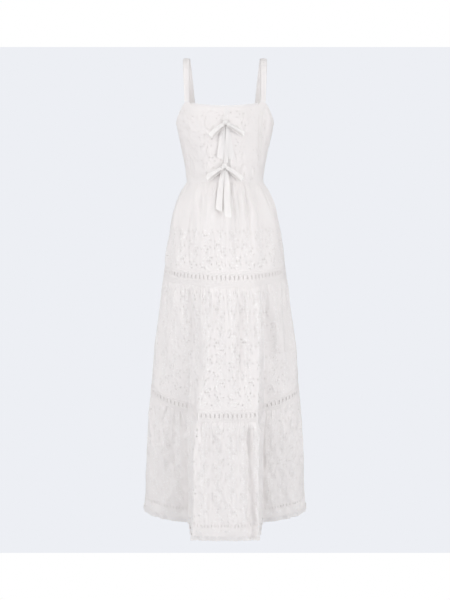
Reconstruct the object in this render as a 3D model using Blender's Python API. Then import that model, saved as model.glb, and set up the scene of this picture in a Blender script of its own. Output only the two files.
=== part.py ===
"""A sleeveless tiered dress in white eyelet cotton, worn with no wearer, at real size.

Metres, +Z up, the front faces -Y. The origin is midway between the crowns of the two straps,
where a wearer's shoulders hold the dress, so the hem is near z = -1.34.
"""

import math
from collections import namedtuple

import bpy
import bmesh
from mathutils import Vector

# Driving sizes
CLOTH = 0.0015
LACE = 0.0012
SEAM = 0.0006
ROUNDNESS = 2.25
RING_STEPS = 360
TURN_STEP = 0.01
CUP_CENTRE = 0.062
CUP_WIDTH = 0.036
WAIST = -0.346
UPPER_LADDER_TOP = -0.585
UPPER_LADDER_BOTTOM = -0.6215
LOWER_LADDER_TOP = -0.9355
LOWER_LADDER_BOTTOM = -0.965
HEM_LACE_TOP = -1.298
HEM = -1.310
SCALLOP_DEPTH = 0.004
HEM_SCALLOPS = 44
SLOT_PITCH = 0.0124
SLOT_WIDTH = 0.0052
SLOT_HEIGHT = 0.013
TOP_RAIL = 0.006

# The outline seen from the front and the side, at the side seam's height
Outline = namedtuple("Outline", "z half_width front back cup")
OUTLINES = [
    Outline(-0.115, 0.1270, 0.082, 0.080, 0.000),
    Outline(-0.150, 0.1360, 0.092, 0.088, 0.003),
    Outline(-0.174, 0.1395, 0.098, 0.093, 0.006),
    Outline(-0.210, 0.1335, 0.103, 0.094, 0.010),
    Outline(-0.273, 0.1200, 0.094, 0.087, 0.004),
    Outline(-0.346, 0.1105, 0.086, 0.081, 0.000),
    Outline(-0.373, 0.1250, 0.095, 0.092, 0.000),
    Outline(-0.402, 0.1385, 0.107, 0.107, 0.000),
    Outline(-0.439, 0.1497, 0.120, 0.122, 0.000),
    Outline(-0.525, 0.1645, 0.138, 0.144, 0.000),
    Outline(-0.589, 0.1735, 0.147, 0.156, 0.000),
    Outline(-0.653, 0.1825, 0.150, 0.168, 0.000),
    Outline(-0.740, 0.1940, 0.143, 0.180, 0.000),
    Outline(-0.846, 0.2068, 0.130, 0.191, 0.000),
    Outline(-0.949, 0.2165, 0.121, 0.201, 0.000),
    Outline(-1.056, 0.2260, 0.118, 0.212, 0.000),
    Outline(-1.142, 0.2310, 0.116, 0.220, 0.000),
    Outline(-1.247, 0.2350, 0.115, 0.228, 0.000),
    Outline(-1.314, 0.2400, 0.115, 0.232, 0.000),
]

# The centre front hangs forward of the sides as one wide panel between two deep folds, and
# each level line sags towards the centre, half as much behind
SAG_POWER = 3
BACK_SAG_SHARE = 0.5
Panel = namedtuple("Panel", "z push sag drop left left_soft right right_soft")
PANELS = [
    Panel(-0.346, 0.000, 0.000, 0.000, -0.100, 0.090, 0.112, 0.080),
    Panel(-0.585, 0.010, 0.011, 0.000, -0.100, 0.090, 0.114, 0.050),
    Panel(-0.622, 0.016, 0.013, 0.001, -0.100, 0.080, 0.116, 0.034),
    Panel(-0.780, 0.044, 0.026, 0.003, -0.101, 0.060, 0.116, 0.024),
    Panel(-0.936, 0.072, 0.036, 0.005, -0.104, 0.032, 0.112, 0.021),
    Panel(-0.965, 0.075, 0.036, 0.005, -0.104, 0.028, 0.111, 0.020),
    Panel(-1.100, 0.088, 0.022, 0.010, -0.105, 0.020, 0.109, 0.018),
    Panel(-1.314, 0.100, 0.009, 0.016, -0.105, 0.014, 0.108, 0.014),
]

# Soft troughs that run down the cloth, given by where each starts and ends, and fade at both
FOLD_FADE_IN = 0.2
FOLD_FADE_OUT = 0.3
Fold = namedtuple("Fold", "side x_top z_top x_end z_end width depth")
FOLDS = [
    Fold("front", 0.022, -0.360, 0.034, -0.580, 0.009, 0.006),
    Fold("front", -0.009, -0.380, -0.010, -0.580, 0.011, 0.004),
    Fold("front", 0.060, -0.365, 0.074, -0.580, 0.010, 0.005),
    Fold("front", -0.088, -0.400, -0.098, -0.570, 0.012, 0.005),
    Fold("front", 0.041, -0.632, 0.040, -0.925, 0.012, 0.009),
    Fold("front", 0.081, -0.632, 0.083, -0.800, 0.010, 0.006),
    Fold("front", -0.014, -0.640, -0.045, -0.900, 0.016, 0.006),
    Fold("front", -0.171, -0.975, -0.188, -1.120, 0.010, 0.006),
    Fold("front", -0.031, -0.975, -0.034, -1.290, 0.015, 0.006),
    Fold("front", 0.063, -0.970, 0.078, -1.305, 0.013, 0.011),
    Fold("front", 0.195, -0.970, 0.206, -1.090, 0.010, 0.006),
    Fold("back", -0.070, -0.365, -0.090, -0.580, 0.012, 0.005),
    Fold("back", 0.012, -0.370, 0.018, -0.580, 0.011, 0.006),
    Fold("back", 0.078, -0.380, 0.096, -0.570, 0.012, 0.005),
    Fold("back", -0.104, -0.632, -0.128, -0.925, 0.016, 0.010),
    Fold("back", -0.018, -0.632, -0.030, -0.900, 0.014, 0.008),
    Fold("back", 0.086, -0.632, 0.104, -0.925, 0.016, 0.010),
    Fold("back", -0.140, -0.975, -0.150, -1.305, 0.018, 0.014),
    Fold("back", -0.052, -0.975, -0.060, -1.305, 0.016, 0.011),
    Fold("back", 0.030, -0.975, 0.040, -1.305, 0.018, 0.014),
    Fold("back", 0.122, -0.975, 0.136, -1.305, 0.016, 0.012),
]

# Gathers are unevenly spaced and unevenly deep: these are the sizes of the swings
SPACING_SWINGS = ((3, 0.22), (7, 0.13))
DEPTH_SWING = 0.35
DEPTH_SWING_RATE = 2.4
DEPTH_SWING_START = 1.3
# Just below a seam the gathers are pinched flat, and they swell out over this share of the tier
SEAM_PINCH = 0.07
PINCHED_SHARE = 0.15

# Each skirt tier: its side-seam heights, gathers in the front and back, their depth and rows
Tier = namedtuple("Tier", "name top bottom front_gathers back_gathers depth end_depth rows")
TIERS = [
    Tier("upper_tier", WAIST, UPPER_LADDER_TOP, 16, 16, 0.0030, 0.0,
         (0.0, 0.08, 0.28, 0.6, 1.0)),
    Tier("middle_tier", UPPER_LADDER_BOTTOM, LOWER_LADDER_TOP, 18, 17, 0.0034, 0.0,
         (0.0, 0.06, 0.22, 0.6, 1.0)),
    Tier("lower_tier", LOWER_LADDER_BOTTOM, HEM_LACE_TOP, 21, 20, 0.0038, 0.0024,
         (0.0, 0.06, 0.22, 0.6, 1.0)),
]

# The bodice's top edge by angle round the body: 0 at the left side seam, 90 at centre front
Edge = namedtuple("Edge", "degrees z")
FRONT_EDGE = [
    Edge(0, -0.180), Edge(9, -0.175), Edge(18, -0.159), Edge(25, -0.136), Edge(30, -0.1245),
    Edge(42, -0.1240), Edge(47, -0.1330), Edge(60, -0.1365), Edge(90, -0.1400),
]
BACK_EDGE = [
    Edge(0, -0.180), Edge(10, -0.177), Edge(24, -0.168), Edge(37, -0.1515),
    Edge(50, -0.1515), Edge(58, -0.1600), Edge(90, -0.1640),
]
BODICE_ROWS = 7
NECK_LACE_START = 48
NECK_SCALLOPS = 16
NECK_SCALLOP_HEIGHTS = (0.0034, 0.0058)

STRAP_WIDTH = 0.0150
STRAP_LACE_WIDTH = 0.0195
STRAP_SCALLOP = 0.0016
# One strap's line on the +X side, from the front edge over the shoulder to the back edge
Rise = namedtuple("Rise", "x y z turn")
STRAP_LINE = [
    Rise(0.1070, -0.0566, -0.1236, 38),
    Rise(0.1072, -0.0564, -0.1050, 34),
    Rise(0.1078, -0.0535, -0.0700, 24),
    Rise(0.1084, -0.0430, -0.0300, 12),
    Rise(0.1086, -0.0240, -0.0065, 4),
    Rise(0.1085, -0.0020, 0.0008, 0),
    Rise(0.1075, 0.0200, -0.0065, -4),
    Rise(0.1050, 0.0400, -0.0300, -10),
    Rise(0.1005, 0.0560, -0.0750, -18),
    Rise(0.0960, 0.0640, -0.1250, -26),
    Rise(0.0955, 0.0642, -0.1511, -28),
]

# A ribbon station: how far along, how far out from the cloth, and how wide
Station = namedtuple("Station", "along out width")
LOOP_STATIONS = [
    Station(0.0076, 0.0096, 0.0090), Station(0.020, 0.0122, 0.0135),
    Station(0.038, 0.0136, 0.0165), Station(0.052, 0.0126, 0.0170),
    Station(0.0575, 0.0092, 0.0170), Station(0.052, 0.0062, 0.0165),
    Station(0.038, 0.0058, 0.0155), Station(0.020, 0.0066, 0.0125),
    Station(0.0076, 0.0074, 0.0090),
]
# A tail's stations run down its length, and their height adds to the bow's tail_out
TAIL_KNOT_END = Station(0.0086, 0.0036, 0.0074)
TAIL_STATIONS = [
    Station(0.3, 0.0012, 0.0125), Station(0.65, 0.0000, 0.0160), Station(1.0, 0.0000, 0.0180),
]
TAIL_SPREAD = 0.0042
Ribbon = namedtuple("Ribbon", "name toward_x toward_z length")
Bow = namedtuple("Bow", "name x z tail_out loops tails")
BOWS = [
    Bow("upper_bow", 0.001, -0.1830, 0.0030,
        [Ribbon("loop_left", -15.5, -13.0, 0.058), Ribbon("loop_right", 19.0, -12.0, 0.063)],
        [Ribbon("tail_left", -12.0, -100.0, 0.100), Ribbon("tail_right", 15.0, -100.0, 0.104)]),
    Bow("lower_bow", -0.001, -0.3016, 0.0060,
        [Ribbon("loop_left", -17.5, -13.0, 0.062), Ribbon("loop_right", 18.0, -14.0, 0.064)],
        [Ribbon("tail_left", -14.0, -100.0, 0.124), Ribbon("tail_right", 5.0, -100.0, 0.142)]),
]
KNOT_RADII = (0.0070, 0.0048, 0.0074)
KNOT_OUT = 0.0075
PLACKET_OUT = 0.0008
PLACKET_TOP = -0.1425
PLACKET_ROWS = 12
PLACKET_LEFT = -0.0035
PLACKET_RIGHT = 0.0095

WHITE_COTTON = (0.92, 0.915, 0.90, 1.0)
WHITE_LACE = (0.94, 0.935, 0.92, 1.0)
WHITE_RIBBON = (0.95, 0.95, 0.94, 1.0)


def clear_scene():
    for thing in list(bpy.data.objects):
        bpy.data.objects.remove(thing, do_unlink=True)


def make_material(name, colour, roughness):
    material = bpy.data.materials.new(name)
    material.use_nodes = True
    shader = material.node_tree.nodes["Principled BSDF"]
    shader.inputs["Base Color"].default_value = colour
    shader.inputs["Roughness"].default_value = roughness
    return material


def smooth(t):
    t = min(1.0, max(0.0, t))
    return t * t * (3 - 2 * t)


def read_table(table, key, value, column):
    """A table's column at a key value, on a smooth curve through its rows."""
    rows = sorted(table, key=lambda row: getattr(row, key))
    keys = [getattr(row, key) for row in rows]
    values = [getattr(row, column) for row in rows]
    if value <= keys[0]:
        return values[0]
    if value >= keys[-1]:
        return values[-1]
    i = max(k for k in range(len(keys) - 1) if keys[k] <= value)
    slopes = []
    for k in (i, i + 1):
        low, high = max(0, k - 1), min(len(keys) - 1, k + 1)
        slopes.append((values[high] - values[low]) / (keys[high] - keys[low]))
    span = keys[i + 1] - keys[i]
    t = (value - keys[i]) / span
    return (
        (2 * t**3 - 3 * t**2 + 1) * values[i]
        + (t**3 - 2 * t**2 + t) * span * slopes[0]
        + (3 * t**2 - 2 * t**3) * values[i + 1]
        + (t**3 - t**2) * span * slopes[1]
    )


def outline(z, column):
    return read_table(OUTLINES, "z", z, column)


def panel_value(z, column):
    return read_table(PANELS, "z", z, column)


def panel_share(x, z):
    """0 on the sides of the skirt, 1 on the wide centre-front panel."""
    left = smooth((x - panel_value(z, "left")) / panel_value(z, "left_soft"))
    right = smooth((panel_value(z, "right") - x) / panel_value(z, "right_soft"))
    return left * right


def cup_shape(x, z):
    """Two soft rounds where the bodice is cut fuller, one each side of centre front."""
    return outline(z, "cup") * math.exp(-(((abs(x) - CUP_CENTRE) / CUP_WIDTH) ** 2))


def fold_depth(side, x, z):
    """How far the large folds carry the cloth inwards."""
    total = 0.0
    for fold in FOLDS:
        along = (fold.z_top - z) / (fold.z_top - fold.z_end)
        if fold.side != side or not 0 < along < 1:
            continue
        centre = fold.x_top + (fold.x_end - fold.x_top) * along
        free_end = fold.z_end < HEM_LACE_TOP
        fade = smooth(along / FOLD_FADE_IN)
        fade *= 1.0 if free_end else smooth((1 - along) / FOLD_FADE_OUT)
        total += fold.depth * fade * math.exp(-(((x - centre) / fold.width) ** 2))
    return total


def signed_power(value, power):
    return math.copysign(abs(value) ** power, value)


def body_point(angle, z):
    """The dress's outer surface: angle 0 at the left side seam, pi/2 at centre front."""
    half = outline(z, "half_width")
    x = -half * signed_power(math.cos(angle), 2 / ROUNDNESS)
    rise = abs(math.sin(angle)) ** (2 / ROUNDNESS)
    droop = panel_value(z, "sag") * (1 - abs(x / half) ** SAG_POWER)
    if math.sin(angle) >= 0:
        share = panel_share(x, z)
        y = -outline(z, "front") * rise - cup_shape(x, z) * rise
        y += -panel_value(z, "push") * share + fold_depth("front", x, z)
        droop += panel_value(z, "drop") * share
    else:
        y = outline(z, "back") * rise - fold_depth("back", x, z)
        droop *= BACK_SAG_SHARE
    return Vector((x, y, z - droop))


def body_normal(angle, z):
    along = body_point(angle + TURN_STEP, z) - body_point(angle - TURN_STEP, z)
    return Vector((along.y, -along.x, 0)).normalized()


def front_y(x, z):
    """The depth of the front cloth at a place on the front view."""
    half = outline(z, "half_width")
    share = max(0.0, 1 - abs(x / half) ** ROUNDNESS) ** (1 / ROUNDNESS)
    depth = (outline(z, "front") + cup_shape(x, z)) * share
    return -depth - panel_value(z, "push") * panel_share(x, z)


def grid_patches(rows, columns):
    """Four-cornered patches over a grid of points, each corner named by its row and column."""
    return [
        [(r, c), (r + 1, c), (r + 1, c + 1), (r, c + 1)]
        for r in range(rows - 1)
        for c in range(columns - 1)
    ]


def add_wall(name, outer, inner, material, patches=None):
    """A closed wall between two sheets of points, with an edge face wherever patches end."""
    if patches is None:
        patches = grid_patches(len(outer), len(outer[0]))
    mesh = bmesh.new()
    corners = sorted({corner for patch in patches for corner in patch})
    front = {(r, c): mesh.verts.new(outer[r][c]) for r, c in corners}
    back = {(r, c): mesh.verts.new(inner[r][c]) for r, c in corners}
    edges = {}
    for patch in patches:
        for second, third in zip(patch[1:], patch[2:]):
            mesh.faces.new([front[corner] for corner in (patch[0], second, third)])
            mesh.faces.new([back[corner] for corner in (third, second, patch[0])])
        for start, end in zip(patch, patch[1:] + patch[:1]):
            if (end, start) in edges:
                del edges[(end, start)]
            else:
                edges[(start, end)] = True
    for start, end in edges:
        mesh.faces.new((front[end], front[start], back[start]))
        mesh.faces.new((front[end], back[start], back[end]))
    return add_object(name, mesh, material)


def add_object(name, mesh, material):
    data = bpy.data.meshes.new(name)
    bmesh.ops.recalc_face_normals(mesh, faces=mesh.faces)
    mesh.to_mesh(data)
    mesh.free()
    data.materials.append(material)
    data.shade_smooth()
    data.set_sharp_from_angle(angle=math.radians(40))
    thing = bpy.data.objects.new(name, data)
    dress.objects.link(thing)
    return thing


def half_ring(side, z):
    """Points close together along the front or back of the dress, with their running length."""
    start = 0.0 if side == "front" else math.pi
    turns = [start + math.pi * i / RING_STEPS for i in range(RING_STEPS + 1)]
    points = [body_point(turn, z) for turn in turns]
    lengths = [0.0]
    for before, after in zip(points, points[1:]):
        lengths.append(lengths[-1] + (after.xy - before.xy).length)
    return points, lengths


def place_on(points, lengths, share):
    """The point at a share of the way along a half ring."""
    target = share * lengths[-1]
    low, high = 0, len(lengths) - 1
    while high - low > 1:
        middle = (low + high) // 2
        if lengths[middle] <= target:
            low = middle
        else:
            high = middle
    part = (target - lengths[low]) / (lengths[high] - lengths[low])
    return points[low].lerp(points[high], part)


def gather_phase(share, gathers):
    """Counts gathers from the seam; the sine terms make their spacing uneven."""
    uneven = sum(size * math.sin(2 * math.pi * share * waves) for waves, size in SPACING_SWINGS)
    return gathers * share + uneven


def share_at_phase(phase, gathers):
    low, high = 0.0, 1.0
    for _ in range(40):
        middle = (low + high) / 2
        if gather_phase(middle, gathers) < phase:
            low = middle
        else:
            high = middle
    return (low + high) / 2


def gather_shares(gathers):
    """Three columns for each gather: its crest and both sides of its trough."""
    inner = [share_at_phase(i / 3, gathers) for i in range(1, 3 * gathers)]
    return [0.0] + inner + [1.0]


def gather_height(tier, gathers, share, down):
    """How far a gather stands out, for a place along the seam and down the tier."""
    phase = gather_phase(share, gathers)
    uneven = 1 + DEPTH_SWING * math.sin(phase * DEPTH_SWING_RATE + DEPTH_SWING_START)
    swell = PINCHED_SHARE + (1 - PINCHED_SHARE) * smooth(down / SEAM_PINCH)
    fade = smooth((down - SEAM_PINCH) / (1 - SEAM_PINCH))
    depth = tier.depth + (tier.end_depth - tier.depth) * fade
    return depth * swell * uneven * math.cos(2 * math.pi * phase)


def ring_normals(ring):
    """Level outward directions at the points of a closed ring."""
    found = []
    for before, after in zip(ring[-1:] + ring[:-1], ring[1:] + ring[:1]):
        along = after - before
        found.append(Vector((along.y, -along.x, 0)).normalized())
    return found


def closed_ring(z, shares, heights):
    """The whole ring of outer points and outward directions, front first, then back."""
    ring = []
    for side in ("front", "back"):
        points, lengths = half_ring(side, z)
        ring += [place_on(points, lengths, share) for share in shares[side][:-1]]
    normals = ring_normals(ring)
    if heights is not None:
        raised = heights["front"][:-1] + heights["back"][:-1]
        ring = [point + normal * lift for point, normal, lift in zip(ring, normals, raised)]
        normals = ring_normals(ring)
    return ring, normals


def split_ring(ring, normals, shares, side):
    """The front or back run of a closed ring, trimmed at both side seams."""
    count = len(shares["front"]) - 1
    total = len(ring)
    picked = range(0, count + 1) if side == "front" else range(count, total + 1)
    points = [ring[i % total].copy() for i in picked]
    outward = [normals[i % total] for i in picked]
    for end, turn in ((0, 1), (-1, -1)):
        along = Vector((-outward[end].y, outward[end].x, 0)) * turn
        points[end] += along * SEAM / 2
    return points, outward


def add_ring_wall(name, levels, row_shares, thickness, material, lift=None, patches=None):
    """A front and a back wall through the rings at the given levels."""
    grids = {"front": ([], []), "back": ([], [])}
    for row, z in enumerate(levels):
        shares = row_shares[row]
        ring, normals = closed_ring(z, shares, lift(row) if lift else None)
        for side in ("front", "back"):
            points, outward = split_ring(ring, normals, shares, side)
            grids[side][0].append(points)
            grids[side][1].append([p - n * thickness for p, n in zip(points, outward)])
    for side, (outer, inner) in grids.items():
        add_wall(f"{name}_{side}", outer, inner, material, patches and patches[side])


def add_tier(tier, material):
    """A gathered skirt tier, front and back."""
    gathers = {"front": tier.front_gathers, "back": tier.back_gathers}
    shares = {side: gather_shares(count) for side, count in gathers.items()}
    top, bottom = tier.top - SEAM / 2, tier.bottom + SEAM / 2
    levels = [top + (bottom - top) * down for down in tier.rows]

    def lift(row):
        return {
            side: [
                gather_height(tier, gathers[side], share, tier.rows[row]) for share in shares[side]
            ]
            for side in gathers
        }

    add_ring_wall(tier.name, levels, [shares] * len(levels), CLOTH, material, lift)


def ladder_patches(slots):
    """Patches round a row of slots: rails above and below, and a bar between each two slots."""
    patches = []
    for i in range(slots + 1):
        left, right = 2 * i, 2 * i + 1
        patches.append([(0, i), (1, left), (1, right), (0, i + 1)])
        patches.append([(1, left), (2, left), (2, right), (1, right)])
        patches.append([(2, left), (3, i), (3, i + 1), (2, right)])
    for i in range(1, slots + 1):
        left, right = 2 * i - 1, 2 * i
        patches.append([(0, i), (1, left), (1, right)])
        patches.append([(3, i), (2, right), (2, left)])
    return patches


def add_ladder(name, top, bottom, material):
    """An insertion band with a row of open slots between bars, front and back."""
    middle = (top + bottom) / 2
    rail_shares, bar_shares, patches = {}, {}, {}
    for side in ("front", "back"):
        length = half_ring(side, middle)[1][-1]
        slots = round(length / SLOT_PITCH)
        half_slot = SLOT_WIDTH / length / 2
        centres = [(i + 0.5) / slots for i in range(slots)]
        edges = [centre + half for centre in centres for half in (-half_slot, half_slot)]
        rail_shares[side] = [0.0] + centres + [1.0]
        bar_shares[side] = [0.0] + edges + [1.0]
        patches[side] = ladder_patches(slots)
    slot_top = top - TOP_RAIL
    levels = [top - SEAM / 2, slot_top, slot_top - SLOT_HEIGHT, bottom + SEAM / 2]
    row_shares = [rail_shares, bar_shares, bar_shares, rail_shares]
    add_ring_wall(name, levels, row_shares, LACE, material, patches=patches)


def add_hem_lace(material):
    """The scalloped edging below the lower tier, which follows its gathers."""
    tier = TIERS[-1]
    gathers = {"front": tier.front_gathers, "back": tier.back_gathers}
    shares = [i / (2 * HEM_SCALLOPS) for i in range(2 * HEM_SCALLOPS + 1)]
    heights = {
        side: [gather_height(tier, count, share, 1.0) for share in shares]
        for side, count in gathers.items()
    }
    both = {side: shares for side in gathers}
    rings = [closed_ring(z, both, heights) for z in (HEM_LACE_TOP - SEAM / 2, HEM)]
    for side in gathers:
        outer, inner = [], []
        for row, (ring, normals) in enumerate(rings):
            points, outward = split_ring(ring, normals, both, side)
            for point in points[1::2] if row else ():
                point.z -= SCALLOP_DEPTH
            outer.append(points)
            inner.append([p - n * LACE for p, n in zip(points, outward)])
        add_wall(f"hem_lace_{side}", outer, inner, material)


def edge_height(degrees):
    """The bodice's top edge at an angle from 0 to 360 degrees."""
    table = FRONT_EDGE if degrees <= 180 else BACK_EDGE
    from_side = degrees % 180
    if from_side > 90:
        from_side = 180 - from_side
    above = next(row for row in table if row.degrees >= from_side)
    below = [row for row in table if row.degrees <= from_side][-1]
    if above is below:
        return above.z
    part = (from_side - below.degrees) / (above.degrees - below.degrees)
    return below.z + (above.z - below.z) * part


def add_bodice_piece(name, degrees, material):
    """A bodice panel over a run of angles, trimmed by half a seam at each end."""
    outer, inner = [], []
    low = WAIST + SEAM / 2
    for row in range(BODICE_ROWS, -1, -1):
        points, backs = [], []
        for angle in degrees:
            z = low + (edge_height(angle) - low) * row / BODICE_ROWS
            normal = body_normal(math.radians(angle), z)
            point = body_point(math.radians(angle), z)
            point.z = z
            along = Vector((-normal.y, normal.x, 0)) * SEAM / 2
            if angle == degrees[0]:
                point += along
            if angle == degrees[-1]:
                point -= along
            points.append(point)
            backs.append(point - normal * CLOTH)
        outer.append(points)
        inner.append(backs)
    add_wall(name, outer, inner, material)


def add_bodice(material):
    """Two front halves that meet under the placket, and a plain back."""
    half_front = [0, 9, 18, 25, 30, 36, 42, 47, 53, 60, 67, 75, 90]
    half_back = [0, 10, 24, 37, 50, 58, 73, 90]
    add_bodice_piece("bodice_front_left", half_front, material)
    add_bodice_piece("bodice_front_right", [180 - angle for angle in half_front[::-1]], material)
    back = [180 + angle for angle in half_back] + [360 - angle for angle in half_back[-2::-1]]
    add_bodice_piece("bodice_back", back, material)


def add_neck_lace(material):
    """The scalloped edging that stands on the front neckline between the straps."""
    width = 180 - 2 * NECK_LACE_START
    step = width / (2 * NECK_SCALLOPS)
    angles = [NECK_LACE_START + step * i for i in range(2 * NECK_SCALLOPS + 1)]
    outer, inner = [[], []], [[], []]
    for i, angle in enumerate(angles):
        base = edge_height(angle) + SEAM
        normal = body_normal(math.radians(angle), base)
        point = body_point(math.radians(angle), base)
        for row, height in enumerate((NECK_SCALLOP_HEIGHTS[i % 2], 0.0)):
            outer[row].append(Vector((point.x, point.y, base + height)))
            inner[row].append(outer[row][-1] - normal * LACE)
    add_wall("neck_lace", outer, inner, material)


def front_place(x, z, out):
    return Vector((x, front_y(x, z) - out, z))


def add_placket(material):
    """The narrow strip over the centre-front opening, from below the neckline to the waist."""
    drop = (WAIST + SEAM - PLACKET_TOP) / PLACKET_ROWS
    levels = [PLACKET_TOP + drop * row for row in range(PLACKET_ROWS + 1)]
    outer, inner = [
        [[front_place(x, z, out) for x in (PLACKET_LEFT, PLACKET_RIGHT)] for z in levels]
        for out in (PLACKET_OUT + LACE, PLACKET_OUT)
    ]
    add_wall("front_placket", outer, inner, material)


def curve_through(points, steps):
    """Positions on a smooth curve through points, with steps in each gap."""
    line = []
    for i in range(len(points) - 1):
        p0 = points[max(0, i - 1)]
        p1, p2 = points[i], points[i + 1]
        p3 = points[min(len(points) - 1, i + 2)]
        for k in range(steps):
            t = k / steps
            line.append(
                0.5 * ((2 * p1) + (p2 - p0) * t + (2 * p0 - 5 * p1 + 4 * p2 - p3) * t**2
                       + (3 * p1 - p0 - 3 * p2 + p3) * t**3)
            )
    return line + [points[-1]]


def add_strap(side, material, lace):
    """A strap and the scalloped lace strip sewn under it, over one shoulder."""
    mirror = 1 if side == "right" else -1
    line = curve_through([Vector((r.x, r.y, r.z)) for r in STRAP_LINE], 4)
    turns = curve_through([Vector((r.turn, 0, 0)) for r in STRAP_LINE], 4)
    frames = []
    for i, point in enumerate(line):
        ahead = line[min(i + 1, len(line) - 1)] - line[max(i - 1, 0)]
        if i in (0, len(line) - 1):
            ahead = Vector((0, 0, 1 if i == 0 else -1))
        turn = math.radians(turns[i].x)
        across = Vector((math.cos(turn), math.sin(turn), 0))
        frames.append((point, across, across.cross(ahead).normalized()))

    def strip(depth, half_widths):
        grid = []
        for (point, across, out), half in zip(frames, half_widths):
            row = [point + across * reach + out * depth for reach in (-half, half)]
            grid.append([Vector((p.x * mirror, p.y, p.z)) for p in row][::mirror])
        return grid

    plain = [STRAP_WIDTH / 2] * len(frames)
    add_wall(f"strap_{side}", strip(CLOTH / 2, plain), strip(-CLOTH / 2, plain), material)
    scallop = [STRAP_LACE_WIDTH / 2 - (i % 2) * STRAP_SCALLOP for i in range(len(frames))]
    near = -CLOTH / 2 - SEAM
    add_wall(f"strap_lace_{side}", strip(near, scallop), strip(near - LACE, scallop), lace)


def add_ribbon(name, bow, ribbon, stations, material):
    """A ribbon laid over the front cloth, from a bow's knot towards a place on the front view."""
    toward = Vector((ribbon.toward_x, ribbon.toward_z)).normalized()
    across = Vector((-toward.y, toward.x))
    line = curve_through([Vector(s) for s in stations], 2)
    outer, inner = [], []
    for i, (along, out, width) in enumerate(line):
        ahead = line[min(i + 1, len(line) - 1)] - line[max(i - 1, 0)]
        slope = Vector((ahead.x, ahead.y)).normalized()
        for grid, side in ((outer, LACE / 2), (inner, -LACE / 2)):
            s = along - slope.y * side
            lift = out + slope.x * side
            row = []
            for half in (-width / 2, width / 2):
                place = Vector((bow.x, bow.z)) + toward * s + across * half
                row.append(front_place(place.x, place.y, lift))
            grid.append(row)
    add_wall(name, outer, inner, material)


def add_bow(bow, material):
    """A tied bow: a knot, two drooping loops and two tails."""
    start = LOOP_STATIONS[0].along
    reach = max(station.along for station in LOOP_STATIONS)
    for ribbon in bow.loops:
        stretch = (ribbon.length - start) / (reach - start)
        stations = [s._replace(along=start + (s.along - start) * stretch) for s in LOOP_STATIONS]
        add_ribbon(f"{bow.name}_{ribbon.name}", bow, ribbon, stations, material)
    for ribbon in bow.tails:
        root = bow._replace(x=bow.x + math.copysign(TAIL_SPREAD, ribbon.toward_x))
        stations = [TAIL_KNOT_END] + [
            Station(s.along * ribbon.length, s.out + bow.tail_out, s.width) for s in TAIL_STATIONS
        ]
        add_ribbon(f"{bow.name}_{ribbon.name}", root, ribbon, stations, material)
    mesh = bmesh.new()
    bmesh.ops.create_uvsphere(mesh, u_segments=10, v_segments=7, radius=1.0)
    bmesh.ops.scale(mesh, vec=KNOT_RADII, verts=mesh.verts)
    bmesh.ops.translate(mesh, vec=front_place(bow.x, bow.z, KNOT_OUT), verts=mesh.verts)
    add_object(f"{bow.name}_knot", mesh, material)


clear_scene()
dress = bpy.data.collections.new("dress")
bpy.context.scene.collection.children.link(dress)
cotton = make_material("eyelet_cotton", WHITE_COTTON, 0.85)
trim_lace = make_material("trim_lace", WHITE_LACE, 0.8)
ribbon_cotton = make_material("ribbon_cotton", WHITE_RIBBON, 0.7)

add_bodice(cotton)
add_neck_lace(trim_lace)
add_placket(ribbon_cotton)
for strap_side in ("left", "right"):
    add_strap(strap_side, cotton, trim_lace)
for skirt_tier in TIERS:
    add_tier(skirt_tier, cotton)
add_ladder("upper_ladder", UPPER_LADDER_TOP, UPPER_LADDER_BOTTOM, trim_lace)
add_ladder("lower_ladder", LOWER_LADDER_TOP, LOWER_LADDER_BOTTOM, trim_lace)
add_hem_lace(trim_lace)
for tied_bow in BOWS:
    add_bow(tied_bow, ribbon_cotton)
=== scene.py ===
"""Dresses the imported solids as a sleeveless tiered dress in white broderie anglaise.

Metres, +Z up, the front faces -Y. Cloth is made as fine grids on the same outline, panel and
folds as the solids, pierced with real eyelets and slots, with raised embroidery on top.
"""

import math
from collections import namedtuple
from itertools import product

import bpy
import numpy as np
from bpy.props import FloatProperty, FloatVectorProperty, PointerProperty
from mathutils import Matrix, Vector


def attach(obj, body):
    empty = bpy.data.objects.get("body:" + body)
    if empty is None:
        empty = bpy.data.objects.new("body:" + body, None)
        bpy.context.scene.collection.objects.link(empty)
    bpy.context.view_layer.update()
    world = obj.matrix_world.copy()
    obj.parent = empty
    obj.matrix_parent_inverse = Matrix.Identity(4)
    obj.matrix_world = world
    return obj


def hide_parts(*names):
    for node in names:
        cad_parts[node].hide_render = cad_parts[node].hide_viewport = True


bl_info = {
    "name": "Tiered eyelet dress",
    "version": (1, 0, 0),
    "blender": (4, 5, 0),
    "location": "3D View > Sidebar > Dress",
    "description": "Builds the embroidered cloth, lace, bows and studio round the packed dress",
    "category": "Object",
}

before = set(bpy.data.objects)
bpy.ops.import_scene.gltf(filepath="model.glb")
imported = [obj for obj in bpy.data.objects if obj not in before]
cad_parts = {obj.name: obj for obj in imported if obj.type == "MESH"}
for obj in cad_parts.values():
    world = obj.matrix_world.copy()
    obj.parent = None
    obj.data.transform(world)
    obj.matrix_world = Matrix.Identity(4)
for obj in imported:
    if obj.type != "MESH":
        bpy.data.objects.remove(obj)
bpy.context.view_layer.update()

SIDES = ("front", "back")
BASE_ANGLE = {"front": 0.0, "back": math.pi}
ROUNDNESS = 2.25
CUP_CENTRE, CUP_WIDTH = 0.062, 0.036
WAIST, HEM_LACE_TOP, HEM = -0.346, -1.298, -1.310

# The outline, the panel and all folds are in millimetres
MM = 0.001

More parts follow.
